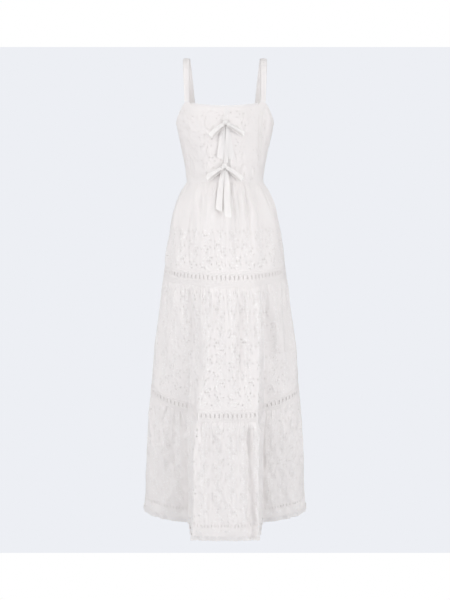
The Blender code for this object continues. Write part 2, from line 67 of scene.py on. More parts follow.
# Columns: height, half width, front depth, back depth, cup
Z, HALF, FRONT, BACK, CUP = range(5)
OUTLINE = MM * np.array(sorted([
    (-115, 127, 82, 80, 0), (-150, 136, 92, 88, 3), (-174, 139.5, 98, 93, 6),
    (-210, 133.5, 103, 94, 10), (-273, 120, 94, 87, 4), (-346, 110.5, 86, 81, 0),
    (-373, 125, 95, 92, 0), (-402, 138.5, 107, 107, 0), (-439, 149.7, 120, 122, 0),
    (-525, 164.5, 138, 144, 0), (-589, 173.5, 147, 156, 0), (-653, 182.5, 150, 168, 0),
    (-740, 194, 143, 180, 0), (-846, 206.8, 130, 191, 0), (-949, 216.5, 121, 201, 0),
    (-1056, 226, 118, 212, 0), (-1142, 231, 116, 220, 0), (-1247, 235, 115, 228, 0),
    (-1314, 240, 115, 232, 0),
]))
# Columns: height, push, sag, drop, left, left softness, right, right softness
PUSH, SAG, DROP, LEFT, LEFT_SOFT, RIGHT, RIGHT_SOFT = range(1, 8)
PANEL = MM * np.array(sorted([
    (-346, 0, 0, 0, -100, 90, 112, 80), (-585, 10, 11, 0, -100, 90, 114, 50),
    (-622, 16, 13, 1, -100, 80, 116, 34), (-780, 44, 26, 3, -101, 60, 116, 24),
    (-936, 72, 36, 5, -104, 32, 112, 21), (-965, 75, 36, 5, -104, 28, 111, 20),
    (-1100, 88, 22, 10, -105, 20, 109, 18), (-1314, 100, 9, 16, -105, 14, 108, 14),
]))
# The large folds of the solids: x and z where each starts, x and z where it ends, width, depth
LARGE_FOLDS = {
    "front": (
        (22, -360, 34, -580, 9, 6), (-9, -380, -10, -580, 11, 4), (60, -365, 74, -580, 10, 5),
        (-88, -400, -98, -570, 12, 5), (41, -632, 40, -925, 12, 9), (81, -632, 83, -800, 10, 6),
        (-14, -640, -45, -900, 16, 6), (-171, -975, -188, -1120, 10, 6),
        (-31, -975, -34, -1290, 15, 6), (63, -970, 78, -1305, 13, 11),
        (195, -970, 206, -1090, 10, 6),
    ),
    "back": (
        (-70, -365, -90, -580, 12, 5), (12, -370, 18, -580, 11, 6), (78, -380, 96, -570, 12, 5),
        (-104, -632, -128, -925, 16, 10), (-18, -632, -30, -900, 14, 8),
        (86, -632, 104, -925, 16, 10), (-140, -975, -150, -1305, 18, 14),
        (-52, -975, -60, -1305, 16, 11), (30, -975, 40, -1305, 18, 14),
        (122, -975, 136, -1305, 16, 12),
    ),
}
# Finer creases laid on the cloth, with positive depth inwards
CREASES = {
    "front": (
        (-8, -352, -9, -460, 3.2, 2.2), (14, -352, 24, -450, 3.2, 2.4),
        (34, -352, 41, -520, 3.6, 2.6), (55, -352, 70, -520, 3.6, 2.6),
        (86, -356, 104, -540, 4.5, 2.8), (-33, -354, -35, -440, 3.2, 2),
        (-62, -356, -76, -550, 4.5, 2.6), (-84, -360, -104, -540, 4.5, 2.8),
        (-46, -356, -52, -500, 5.5, -2), (45, -356, 54, -500, 6, -2.4),
        (37.5, -624, 40, -925, 3.8, 1.8), (106, -626, 110, -935, 4.5, 4.4),
        (73.5, -640, 73.5, -745, 3.2, 2), (-10, -628, -36, -780, 6, 2.4),
        (150, -630, 158, -900, 7, 2.8), (10, -628, 6, -760, 4.5, 2),
        (-50, -628, -66, -740, 5, 2.2), (-98, -630, -110, -760, 6, 2.6),
        (176, -640, 190, -830, 8, 4), (60, -630, 60, -780, 7, -3),
        (-140, -630, -158, -820, 9, -2.6), (-163, -970, -179, -1050, 4.5, 3.6),
        (-108, -1010, -114, -1070, 4.5, 2.2), (-4, -1005, -10, -1062, 3.5, 1.8),
        (36.5, -970, 36, -1140, 3.5, 2.8), (51, -967, 51, -1002, 3.5, 2.4),
        (59, -967, 72, -1210, 3.8, 1.6), (75, -990, 98.5, -1220, 8, -2.6),
        (91.5, -966, 108, -1060, 4.5, 4.4), (107.5, -1020, 108.5, -1200, 4.5, 5),
        (189, -968, 172, -1035, 8, 4.4), (-66, -972, -74, -1070, 5, 2.4),
        (127, -970, 131, -1290, 18, -6), (-140, -972, -150, -1200, 8, 2.6),
    ),
    "back": (
        (-40, -360, -50, -520, 4.5, 2.6), (45, -360, 52, -480, 4, 2.4),
        (-100, -365, -116, -540, 6, -2.6), (100, -362, 118, -500, 4.5, 2.4),
        (2, -354, 6, -450, 3.5, 2.2), (-72, -354, -88, -500, 4, 2.6),
        (-150, -632, -170, -820, 7, 4), (-60, -630, -72, -800, 7, -3),
        (40, -630, 44, -770, 5, 2.8), (140, -632, 156, -860, 7, 3.6),
        (-98, -626, -106, -900, 4, 3.6), (88, -626, 98, -880, 4, 3.4),
        (-100, -972, -108, -1160, 6, 3.4), (-10, -972, -12, -1120, 5, 2.8),
        (80, -972, 88, -1200, 8, -4.5), (170, -972, 186, -1140, 8, 3.6),
        (-180, -972, -196, -1180, 8, 3.4), (30, -968, 37, -1220, 4, 3.8),
        (-140, -968, -147, -1180, 4, 3.6),
    ),
}
# The bodice's own creases: beside the placket, at its right side and just above the waist
BODICE_CREASES = {
    "front": (
        (10.8, -205, 11.5, -352, 2.2, 3.8), (-4.8, -230, -4.5, -352, 2, 2.2),
        (99, -150, 96, -310, 3.6, 4.6), (112, -135, 105, -290, 6.4, 7.5),
        (31, -305, 32, -352, 3, 2), (52, -295, 50, -352, 3, 2), (78, -300, 74, -352, 3, 2),
        (-104, -265, -99, -345, 3.2, 2.4), (-94, -285, -91, -350, 3, 1.8),
    ),
    "back": (
        (-60, -270, -56, -350, 4, 2.2), (70, -260, 66, -350, 4, 2.4),
        (20, -300, 21, -350, 3.2, 1.8), (-98, -200, -92, -320, 5, 3),
    ),
}

Tier = namedtuple("Tier", "top bottom gathers depth end_depth cut")
TIERS = {
    "upper_tier": Tier(WAIST, -0.585, (16, 16), 0.0030, 0.0, 0.63),
    "middle_tier": Tier(-0.6215, -0.9355, (18, 17), 0.0034, 0.0, 0.78),
    "lower_tier": Tier(-0.965, HEM_LACE_TOP, (21, 20), 0.0038, 0.0024, 0.96),
}
LADDERS = {"upper_ladder": (-0.585, -0.6215), "lower_ladder": (-0.9355, -0.965)}
BODICE_PARTS = (("bodice_front_left", "front", 0, 90), ("bodice_front_right", "front", 90, 180),
                ("bodice_back", "back", 0, 180))

# The bodice's top edge: degrees from a side seam, and height in millimetres
TOP_EDGE = {
    "front": ((0, -180), (9, -175), (18, -159), (25, -136), (30, -124.5), (42, -124),
              (47, -131.8), (60, -136.8), (75, -140.5), (90, -142.2)),
    "back": ((0, -180), (10, -177), (24, -168), (37, -151.5), (50, -151.5), (58, -160),
             (90, -164)),
}

# x, y and z in millimetres and turn of one strap's line on the +X side, from the front edge
STRAP_LINE = (MM, MM, MM, 1) * np.array([
    (107, -56.6, -123.6, 38), (107.2, -56.4, -105, 34), (107.8, -53.5, -70, 24),
    (108.4, -43, -30, 12), (108.6, -24, -6.5, 4), (108.5, -2, 0.8, 0), (107.5, 20, -6.5, -4),
    (105, 40, -30, -10), (100.5, 56, -75, -18), (96, 64, -125, -26), (95.5, 64.2, -151.1, -28),
])

# Along the ribbon, out from the cloth, and width, in millimetres
LOOP_LINE = MM * np.array([
    (6, 10, 8.6), (20, 12.6, 13.8), (38, 14, 16.5), (52, 13, 17.2), (57.5, 9.4, 17.2),
    (52, 6, 16.5), (38, 5.6, 15.5), (20, 6.4, 12.5), (6, 7.2, 8.6),
])
TAIL_ROOT = (0.0060, 0.0046, 0.0074)
TAIL_LINE = np.array([(0.3, 0.0010, 0.0135), (0.65, 0.0, 0.0165), (1.0, 0.0, 0.0180)])
TAIL_SPREAD = 0.0034
# Each bow: name, x, z, how far its tails stand out, and its ribbons: name, x and z towards the
# tip, length, and roll in degrees
BOWS = (
    ("upper_bow", 0.001, -0.1830, 0.0030, (
        ("loop_left", -14.6, -13.8, 0.058, 48), ("loop_right", 19.0, -12.0, 0.063, -52),
        ("tail_left", -12.0, -100.0, 0.100, 0), ("tail_right", 15.0, -100.0, 0.104, 0))),
    ("lower_bow", -0.001, -0.3016, 0.0046, (
        ("loop_left", -17.5, -13.0, 0.062, 50), ("loop_right", 18.0, -14.0, 0.064, -46),
        ("tail_left", -11.5, -100.0, 0.124, 0), ("tail_right", 4.0, -100.0, 0.142, 0))),
)
RIBBON_WIDTH, PLEAT_LENGTH = 0.0165, 0.016
KNOT_OUT = 0.0075
KNOT_RADII = (0.0066, 0.0044, 0.0072)
LOOP_MIDDLE = 0.0105

# The embroidery repeats on the cloth's own grid: rows down and columns across from each flower
REPEAT_ROWS, REPEAT_COLUMNS = 28, 17
EYELETS = ((0, 0), (7, 5), (4, 7), (10, 7), (7, 2), (13, -4), (10, -6), (16, -6), (13, -1),
           (19, 2), (22, -2), (25, 1), (-5, 4), (-7, -3), (-3, -6), (17, 5))
LEAVES = ((3.6, -0.8, 6.2, -3.4), (4.4, 1.4, 3.2, 4.2), (10.6, 0.8, 12.2, 3.8),
          (9.0, -0.8, 8.2, -4.4), (16.6, -0.6, 18.6, -3.4), (16.2, 1.0, 15.0, 4.0),
          (-3.8, 0.6, -5.8, 1.9), (-8.2, 0.8, -10.2, 3.2), (22.6, -2.2, 24.6, -4.4))
# Flowers of satin petals: middle row and column, petals, and where each petal starts and ends
FLOWERS = ((0, 0, 6, 1.25, 3.3), (13, -4, 5, 1.2, 2.7), (7, 5, 5, 1.2, 2.7))
STEM = ((-9.4, -0.6), (-6.4, 0.4), (-3.4, 0.2), (3.4, 0.2), (6.0, 0.8), (9.0, 0.4), (12.0, 0.2),
        (15.0, 0.4), (17.6, 0.8))
LEAF_HALF_WIDTHS = (0.0002, 0.0013, 0.0017, 0.0012, 0.0002)
STEM_HALF_WIDTH = 0.0006
STITCH_BASE = 0.0002
CLEAR_OF_SLOTS = 3.5
PLAIN_ROWS = {"upper_tier": 42, "middle_tier": 4, "lower_tier": 4}

# Slots: half height and half width of each ring in cells, and how far the ring stands out
HEM_SLOT_RINGS = ((1.75, 0.92, 0.0), (1.55, 0.78, 0.0005), (1.36, 0.60, 0.0),
                  (1.25, 0.50, -0.0016), (1.2, 0.03, -0.0018))
HEM_SLOTS_UP = 0.029
LADDER_SLOT_RINGS = ((3.5, 1.45, 0.0001), (3.0, 1.1, 0.0006), (2.55, 0.72, 0.0002),
                     (2.5, 0.68, -0.0005))
SLOTS_DOWN, SLOT_PITCH, LADDER_ROW = 0.0125, 0.0124, 0.002
# Columns of cloth in one slot of an insertion and in one scallop of an edging
STEPS = 6
HEM_SCALLOP, HEM_EDGING_HEIGHT = 0.0095, 0.0155
NECK_LACE_FROM, NECK_SCALLOPS, NECK_LACE_HEIGHT = 48, 30, 0.0066
TUCKED_IN = 0.0014

# Cloth within a tier: how far it runs into each seam, how fast its gathers fade, its pleats
SEAM_OVERLAP, GATHER_FADE, PUCKER_PITCH, PUCKER_LENGTH = 0.002, 0.07, 0.0105, 0.034
TOP_SEAM_NIP, LOW_SEAM_NIP = 0.0007, 0.0006
WRINKLE_WAVES, WRINKLE_PITCH = 9, (0.035, 0.120)
BODICE_WRINKLES, TOP_HEM = 0.0007, 0.0008
STRAP_WIDTH = 0.015

# The lining hangs this far inside the tiers and the insertions
LINING_COLUMNS = 140
TIER_INSET, INSET_BELOW_WAIST, LADDER_INSET = 0.0032, 0.0028, 0.0022

# Each finish: material, slot, threads a metre, weave and crinkle bumps, sheen, roughness, and
# the share of light it lets through
FINISHES = {
    "cotton": ("eyelet cotton", "eyelet_cotton", 1400, 0.35, 0.35, 0.05, 0.9, 0.25),
    "thread": ("satin stitch thread", "eyelet_cotton", 3200, 0.5, 0.1, 0.1, 0.6, 0.2),
    "lace": ("cotton lace", "trim_lace", 1800, 0.6, 0.25, 0.05, 0.8, 0.3),
    "ribbon": ("ribbon cotton", "ribbon_cotton", 2000, 0.25, 0.15, 0.1, 0.65, 0.3),
}

CAMERA_PLACE, CAMERA_AIM = (0, -3.0, -0.351), -0.688
# Each lamp: name, place, size and colour
LAMPS = (("key", (0.0, -2.0, 0.15), 1.4, (1.0, 0.985, 0.97)),
         ("left", (-2.5, -1.9, -0.6), 2.4, (0.99, 0.99, 1.0)),
         ("right", (2.3, -1.9, -0.9), 2.0, (0.99, 0.99, 1.0)))
LAMP_AIM = -0.65
BOUNCE_COLOUR, SKY_COLOUR = (0.45, 0.46, 0.48, 1), (0.97, 0.985, 1.0, 1)


def read_table(table, column, key):
    """A table's column at the given heights, on a smooth curve through its rows."""
    keys, values = table[:, Z], table[:, column]
    slopes = np.gradient(values) / np.gradient(keys)
    key = np.clip(key, keys[0], keys[-1])
    i = np.clip(np.searchsorted(keys, key, side="right") - 1, 0, len(keys) - 2)
    span = keys[i + 1] - keys[i]
    t = (key - keys[i]) / span
    return (
        (2 * t**3 - 3 * t**2 + 1) * values[i] + (t**3 - 2 * t**2 + t) * span * slopes[i]
        + (3 * t**2 - 2 * t**3) * values[i + 1] + (t**3 - t**2) * span * slopes[i + 1]
    )


def smooth(t):
    """Eases from 0 to 1 as t does."""
    t = np.clip(t, 0.0, 1.0)
    return t * t * (3 - 2 * t)


def bell(value, centre, width):
    """A smooth hump of height 1."""
    return np.exp(-(((value - centre) / width) ** 2))


def within(value, length, reach):
    """0 at both ends of a length, and 1 from a reach inside them."""
    return smooth(np.minimum(value, length - value) / reach)


def signed_power(value, power):
    """A power that keeps the sign of its value."""
    return np.sign(value) * np.abs(value) ** power


def together(*parts):
    """Coordinates of any matching shapes, as one array of places."""
    return np.stack(np.broadcast_arrays(*parts), axis=-1)


def running_length(points):
    """The length along a line up to each of its points."""
    steps = np.linalg.norm(np.diff(points, axis=0), axis=-1)
    return np.concatenate([[0.0], np.cumsum(steps)])


def resample(at, run, points):
    """A line's places where its running length has the given values."""
    return np.stack([np.interp(at, run, column) for column in points.T], axis=-1)


def unit(vectors, least=1e-12):
    """Vectors scaled to a length of 1."""
    return vectors / np.maximum(np.linalg.norm(vectors, axis=-1, keepdims=True), least)


def lifted(points, out, lift):
    """Places moved along their outward directions."""
    return points + out * lift[..., None]


def to_mm(length):
    """A length rounded to a whole millimetre, as the flat sizes are given."""
    return round(float(length), 3)


def panel_share(x, z):
    """1 on the centre-front panel, easing to 0 beside it."""
    left = smooth((x - read_table(PANEL, LEFT, z)) / read_table(PANEL, LEFT_SOFT, z))
    right = smooth((read_table(PANEL, RIGHT, z) - x) / read_table(PANEL, RIGHT_SOFT, z))
    return left * right


def cup_shape(x, z):
    return read_table(OUTLINE, CUP, z) * bell(np.abs(x), CUP_CENTRE, CUP_WIDTH)


def troughs(folds, x, z, widen=0.0):
    """How far a list of folds carries the cloth inwards at places on the front or back view."""
    total = np.zeros(np.broadcast(x, z).shape)
    for x_top, z_top, x_end, z_end, width, depth in MM * np.array(folds):
        along = (z_top - z) / (z_top - z_end)
        fade = smooth(along / 0.2) * ((along > 0) & (along < 1))
        if z_end >= HEM_LACE_TOP:
            fade = fade * smooth((1 - along) / 0.3)
        spread = np.maximum(width * (1 + widen * (along - 0.4)), 0.002)
        total = total + depth * fade * bell(x, x_top + (x_end - x_top) * along, spread)
    return total


def body(side, angle, z):
    """The dress's outer surface: angle 0 at the left side seam, pi/2 at centre front."""
    half = read_table(OUTLINE, HALF, z)
    x = -half * signed_power(np.cos(angle), 2 / ROUNDNESS)
    rise = np.abs(np.sin(angle)) ** (2 / ROUNDNESS)
    droop = read_table(PANEL, SAG, z) * (1 - np.abs(x / half) ** 3)
    folds = troughs(LARGE_FOLDS[side], x, z)
    if side == "front":
        share = panel_share(x, z)
        y = -(read_table(OUTLINE, FRONT, z) + cup_shape(x, z)) * rise
        y = y - read_table(PANEL, PUSH, z) * share + folds
        droop = droop + read_table(PANEL, DROP, z) * share
    else:
        y = read_table(OUTLINE, BACK, z) * rise - folds
        droop = droop * 0.5
    return together(x, y, z - droop)


def ring_line(side, z):
    """The running length and the places of the front or back ring at one height."""
    points = body(side, BASE_ANGLE[side] + math.pi * np.linspace(0, 1, 1441), np.float64(z))
    return running_length(points[:, :2]), points


def ring_length(side, z):
    return ring_line(side, z)[0][-1]


def ring_grid(side, levels, columns):
    """Shares across, and the places and outward directions of evenly spaced rings."""
    shares = np.linspace(0, 1, columns + 1)
    lines = [ring_line(side, z) for z in levels]
    points = np.stack([resample(shares * run[-1], run, line) for run, line in lines])
    return shares, points, level_outward(points, side)


def level_outward(points, side, at_seams=(True, True)):
    """Level outward directions over a grid of rows that run from side seam to side seam."""
    along = np.gradient(points, axis=1)
    out = unit(together(along[..., 1], -along[..., 0], 0.0))
    first = -1.0 if side == "front" else 1.0
    for column, direction, at_seam in ((0, first, at_seams[0]), (-1, -first, at_seams[1])):
        if at_seam:
            out[:, column] = (direction, 0, 0)
    return out


def gather_height(tier, side, share, down):
    """How far a gather stands out: the solids' own gathers, eased to one value at side seams."""
    gathers = tier.gathers[SIDES.index(side)]
    phase = (gathers * share + 0.22 * np.sin(6 * math.pi * share)
             + 0.13 * np.sin(14 * math.pi * share))
    uneven = 1 + 0.35 * within(share, 1, 0.03) * np.sin(phase * 2.4 + 1.3)
    swell = 0.15 + 0.85 * smooth(down / 0.07)
    depth = tier.depth + (tier.end_depth - tier.depth) * smooth((down - 0.07) / 0.93)
    return depth * swell * uneven * np.cos(2 * math.pi * phase)


def puckers(share, down, count, depth, seed):
    """Small tight pleats just below a gathered seam, uneven in width, depth and length."""
    a, b, c, d = np.random.default_rng(seed).uniform(0, 2 * math.pi, 4)

    def swing(times, start):
        return np.sin(2 * math.pi * times * share + start)

    phase = 2 * math.pi * count * share + 1.7 * swing(3, a) + 1.1 * swing(11, b)
    length = PUCKER_LENGTH * (1 + 0.5 * swing(9, c) + 0.3 * swing(23, d))
    strength = 0.75 + 0.35 * swing(5, b) + 0.25 * swing(17, c)
    wave = 0.7 * np.sin(phase) + 0.45 * np.sin(phase * 0.53 + d)
    start = within(share, 1, 0.02) * smooth((down + 0.001) / 0.005)
    return depth * start * strength * wave * np.exp(-down / np.maximum(length, 0.008))


def crumple(across, down, depth, seed):
    """Soft uneven wrinkles that mostly run down the cloth, as washed cotton has."""
    random = np.random.default_rng(seed)
    total = np.zeros(np.broadcast(across, down).shape)
    for _ in range(WRINKLE_WAVES):
        pitch = random.uniform(*WRINKLE_PITCH)
        lean = random.normal(0, 0.35)
        phase = random.uniform(0, 2 * math.pi)
        bend = 0.6 * np.sin(down * random.uniform(14, 30) + random.uniform(0, 6))
        place = 2 * math.pi * (across + lean * down) / pitch
        total = total + pitch * np.sin(place + phase + bend)
    return total * depth / 0.09


class Cloth:
    """A grid of cloth points, rows down and columns across, that can be pierced and stitched."""

    def __init__(self, points, height, width):
        self.points = points
        self.rows, self.columns = points.shape[:2]
        self.cell = np.array([height / (self.rows - 1), width / (self.columns - 1)])
        self.normals = unit(np.cross(np.gradient(points, axis=0), np.gradient(points, axis=1)))

    def at(self, rows, columns, lift=0.0):
        """Points on the cloth at fractional rows and columns, lifted along its outward side."""
        r = np.clip(np.floor(rows).astype(int), 0, self.rows - 2)
        c = np.clip(np.floor(columns).astype(int), 0, self.columns - 2)
        fr, fc = (rows - r)[..., None], (columns - c)[..., None]

        def mix(grid):
            top = grid[r, c] * (1 - fc) + grid[r, c + 1] * fc
            low = grid[r + 1, c] * (1 - fc) + grid[r + 1, c + 1] * fc
            return top * (1 - fr) + low * fr

        return mix(self.points) + mix(self.normals) * np.asarray(lift)[..., None]

    def flat(self, rows, columns):
        """Places on the flat cloth, in metres from its top left corner."""
        return together(columns * self.cell[1], -rows * self.cell[0])


class Mesh:
    """Gathers the four-sided faces of one piece, with each point's place on the flat cloth."""

    def __init__(self):
        self.points, self.flat, self.faces, self.count = [], [], [], 0

    def add(self, points, flat, faces):
        """Adds points, and faces that are numbered from the mesh's first point."""
        self.points.append(np.reshape(points, (-1, 3)))
        self.flat.append(np.reshape(flat, (-1, 2)))
        self.faces.append(np.reshape(faces, (-1, 4)))
        self.count += len(self.points[-1])

    def build(self, name, material):
        faces = np.concatenate(self.faces)
        used, inverse = np.unique(faces, return_inverse=True)
        faces = inverse.reshape(faces.shape)
        points, flat = np.concatenate(self.points)[used], np.concatenate(self.flat)[used]
        mesh = bpy.data.meshes.new(name)
        mesh.from_pydata(points.tolist(), [], faces.tolist())
        layer = mesh.uv_layers.new(name="cloth")
        layer.data.foreach_set("uv", flat[faces.ravel()].astype(np.float32).ravel())
        mesh.materials.append(material)
        mesh.shade_smooth()
        return mesh


def grid_faces(rows, columns):
    """The four corners of each cell of a grid of points."""
    index = np.arange(rows * columns).reshape(rows, columns)
    return np.stack([index[:-1, :-1], index[1:, :-1], index[1:, 1:], index[:-1, 1:]], axis=-1)


def grid_mesh(points, flat):
    mesh = Mesh()
    mesh.add(points, flat, grid_faces(*points.shape[:2]))
    return mesh


def block_loop(reach_r, reach_c):
    """The grid points round a block of cells, from its top left corner down and round."""
    half = [(r, -reach_c) for r in range(-reach_r, reach_r)]
    half += [(reach_r, c) for c in range(-reach_c, reach_c)]
    return np.array(half + [(-r, -c) for r, c in half])


# One size of hole: the block of cells it takes, rings from its foot to its edge, how square it
# is, and the rows and columns of its centres
Holes = namedtuple("Holes", "reach rings power centres")


def round_holes(radii, lifts, centres):
    return Holes((1, 1), [(r, r, lift) for r, lift in zip(radii, lifts)], 2.0, centres)


def pierce(cloth, kinds=()):
    """A mesh of the cloth with a raised, stitched rim round each hole."""
    whole = np.ones((cloth.rows - 1, cloth.columns - 1), bool)
    kept = []
    for kind in kinds:
        down, across = kind.reach
        places = []
        for r, c in kind.centres:
            block = whole[max(r - down, 0):r + down, max(c - across, 0):c + across]
            fits = min(r - down, c - across) >= 0 and block.shape == (2 * down, 2 * across)
            if fits and block.all():
                block[:] = False
                places.append((r, c))
        kept.append(np.array(places, int).reshape(-1, 2))
    mesh = Mesh()
    mesh.add(cloth.points, cloth.flat(np.arange(cloth.rows)[:, None], np.arange(cloth.columns)),
             grid_faces(cloth.rows, cloth.columns)[whole])
    for kind, places in zip(kinds, kept):
        loop = block_loop(*kind.reach)
        turn = np.arctan2(loop[:, 0] / kind.reach[0], loop[:, 1] / kind.reach[1])
        step_r = signed_power(np.sin(turn), 2 / kind.power)
        step_c = signed_power(np.cos(turn), 2 / kind.power)
        outer = (places[:, :1] + loop[:, 0]) * cloth.columns + places[:, 1:] + loop[:, 1]
        for half_r, half_c, lift in kind.rings:
            at_r, at_c = places[:, :1] + half_r * step_r, places[:, 1:] + half_c * step_c
            inner = mesh.count + np.arange(at_r.size).reshape(at_r.shape)
            band = [outer, np.roll(outer, -1, 1), np.roll(inner, -1, 1), inner]
            mesh.add(cloth.at(at_r, at_c, lift), cloth.flat(at_r, at_c), np.stack(band, axis=-1))
            outer = inner
    return mesh


def stitch_runs(mesh, cloth, paths, half_widths, lift):
    """Raised satin stitching along paths of rows and columns."""
    if not paths:
        return
    paths = np.asarray(paths, float)
    ahead = unit(np.gradient(paths, axis=1) * cloth.cell, 1e-9)
    across = np.stack([-ahead[..., 1], ahead[..., 0]], axis=-1) / cloth.cell
    spread = np.array([-1.0, 0.0, 1.0])
    aside = (across * np.array(half_widths)[:, None])[:, :, None] * spread[:, None]
    rows, columns = np.moveaxis(paths[:, :, None] + aside, -1, 0)
    raised = STITCH_BASE + lift * (1 - spread**2)
    count, stations = paths.shape[:2]
    starts = mesh.count + np.arange(count) * stations * 3
    mesh.add(cloth.at(rows, columns, raised), cloth.flat(rows, columns),
             grid_faces(stations, 3).reshape(-1, 4) + starts[:, None, None])


def motif_places(cloth, seed):
    """Where each repeat of the embroidery starts, in offset columns, with its mirroring."""
    random = np.random.default_rng(seed)
    first_r, first_c = random.integers(0, REPEAT_ROWS), random.integers(0, REPEAT_COLUMNS)
    places = []
    starts = range(first_c - REPEAT_COLUMNS, cloth.columns + REPEAT_COLUMNS, REPEAT_COLUMNS)
    for k, c in enumerate(starts):
        first = first_r - 2 * REPEAT_ROWS + (REPEAT_ROWS // 2 if k % 2 else 0)
        for r in range(first, cloth.rows + REPEAT_ROWS, REPEAT_ROWS):
            places.append((r, c, 1 if k % 2 else -1))
    return places


def petals(flowers):
    """Both ends of each satin petal."""
    for row, column, count, near, far in flowers:
        for k in range(count):
            turn = 2 * math.pi * (k + 0.5) / count
            yield [(row + math.cos(turn) * reach, column + math.sin(turn) * reach)
                   for reach in (near, far)]


def embroidered(cloth, seed, plain_rows, slots=None, flowers=FLOWERS):
    """Eyelets pierced in a cloth and the stitched leaves and stems that lie on it."""
    settings = bpy.context.scene.dress_cloth
    hole, rim = settings.eyelet_radius / cloth.cell[0], settings.rim_height
    slot_row = slots.centres[0][0] if slots else -99
    top, bottom = plain_rows

    def inside(r, c):
        return top < r < cloth.rows - 1 - bottom and 1 < c < cloth.columns - 2

    def has_room(line):
        return all(inside(r, c) and abs(r - slot_row) > CLEAR_OF_SLOTS for r, c in line)

    eyelets, leaves, stems = [], [], []
    shares = np.linspace(0, 1, len(LEAF_HALF_WIDTHS))[:, None]
    for r, c, hand in motif_places(cloth, seed):
        eyelets += [(r + down, c + hand * across) for down, across in EYELETS
                    if inside(r + down, c + hand * across)]
        for shape in (*LEAVES, *petals(flowers)):
            start, end = ends = np.reshape(shape, (2, 2)) * (1, hand) + (r, c)
            if has_room(ends):
                leaves.append(start * (1 - shares) + end * shares)
        line = np.array(STEM) * (1, hand) + (r, c)
        if has_room(line):
            stems.append(line)
    kinds = [slots] if slots else []
    kinds.append(round_holes((hole + 0.30, hole + 0.14, hole), (0.0, rim, rim * 0.2), eyelets))
    thread = Mesh()
    stitch_runs(thread, cloth, leaves, LEAF_HALF_WIDTHS, settings.stitch_height)
    stitch_runs(thread, cloth, stems, (STEM_HALF_WIDTH,) * len(STEM), settings.stitch_height * 0.7)
    return pierce(cloth, kinds), thread


def feed(tree, node, inputs):
    """Feeds a node's inputs, by name or number, from sockets or with constants."""
    for key, value in inputs.items():
        if isinstance(value, bpy.types.NodeSocket):
            tree.links.new(value, node.inputs[key])
        else:
            node.inputs[key].default_value = value


def add_node(tree, kind, inputs=None, **settings):
    node = tree.nodes.new(f"ShaderNode{kind}")
    for key, value in settings.items():
        setattr(node, key, value)
    feed(tree, node, inputs or {})
    return node


def maths(tree, operation, *values):
    return add_node(tree, "Math", dict(enumerate(values)), operation=operation).outputs[0]


def plain_weave(group, given, made):
    """Warp and weft threads that pass over and under, with slubs in the yarn."""
    place = add_node(group, "SeparateXYZ", {0: given["Cloth"]}).outputs
    turn = maths(group, "MULTIPLY", given["Threads per metre"], math.pi)
    warp, weft = (maths(group, "SINE", maths(group, "MULTIPLY", place[axis], turn))
                  for axis in "XY")
    over = maths(group, "MULTIPLY", warp, weft)
    stretch = add_node(group, "VectorMath", {0: given["Cloth"], 1: (900.0, 60.0, 1.0)},
                       operation="MULTIPLY")
    slub = add_node(group, "TexNoise", {"Scale": 1.0, "Detail": 2.0, "Vector": stretch.outputs[0]})
    thick = maths(group, "MULTIPLY", slub.outputs["Fac"], given["Slub"])
    shade = maths(group, "MULTIPLY", slub.outputs["Fac"], 0.5)
    feed(group, made, {"Height": maths(group, "ADD", maths(group, "MULTIPLY", over, 0.5), thick),
                       "Shade": maths(group, "ADD", shade, 0.5)})


def washed_crinkle(group, given, made):
    """Fine crinkles and soft mottling in washed cotton, larger than the weave."""
    fine = add_node(group, "TexNoise", {"Detail": 4.0, "Roughness": 0.55,
                                        "Vector": given["Place"], "Scale": given["Size"]})
    broad = add_node(group, "TexNoise", {"Scale": 7.0, "Detail": 2.0, "Vector": given["Place"]})
    feed(group, made, {"Height": fine.outputs["Fac"], "Mottle": broad.outputs["Fac"]})


# Each node group: how it is filled, its inputs with their defaults, and its outputs
GROUPS = {
    "plain weave": (plain_weave, {"Cloth": None, "Threads per metre": 1400.0, "Slub": 0.5},
                    ("Height", "Shade")),
    "washed crinkle": (washed_crinkle, {"Place": None, "Size": 90.0}, ("Height", "Mottle")),
}


def node_group(name):
    """A shader node group, made when it is first asked for."""
    found = bpy.data.node_groups.get(name)
    if found:
        return found
    fill, inputs, outputs = GROUPS[name]
    group = bpy.data.node_groups.new(name, "ShaderNodeTree")
    new_socket = group.interface.new_socket
    for label, default in inputs.items():
        if default is None:
            new_socket(label, in_out="INPUT", socket_type="NodeSocketVector")
        else:
            new_socket(label, in_out="INPUT", socket_type="NodeSocketFloat").default_value = default
    for label in outputs:
        new_socket(label, in_out="OUTPUT", socket_type="NodeSocketFloat")
    fill(group, group.nodes.new("NodeGroupInput").outputs, group.nodes.new("NodeGroupOutput"))
    return group


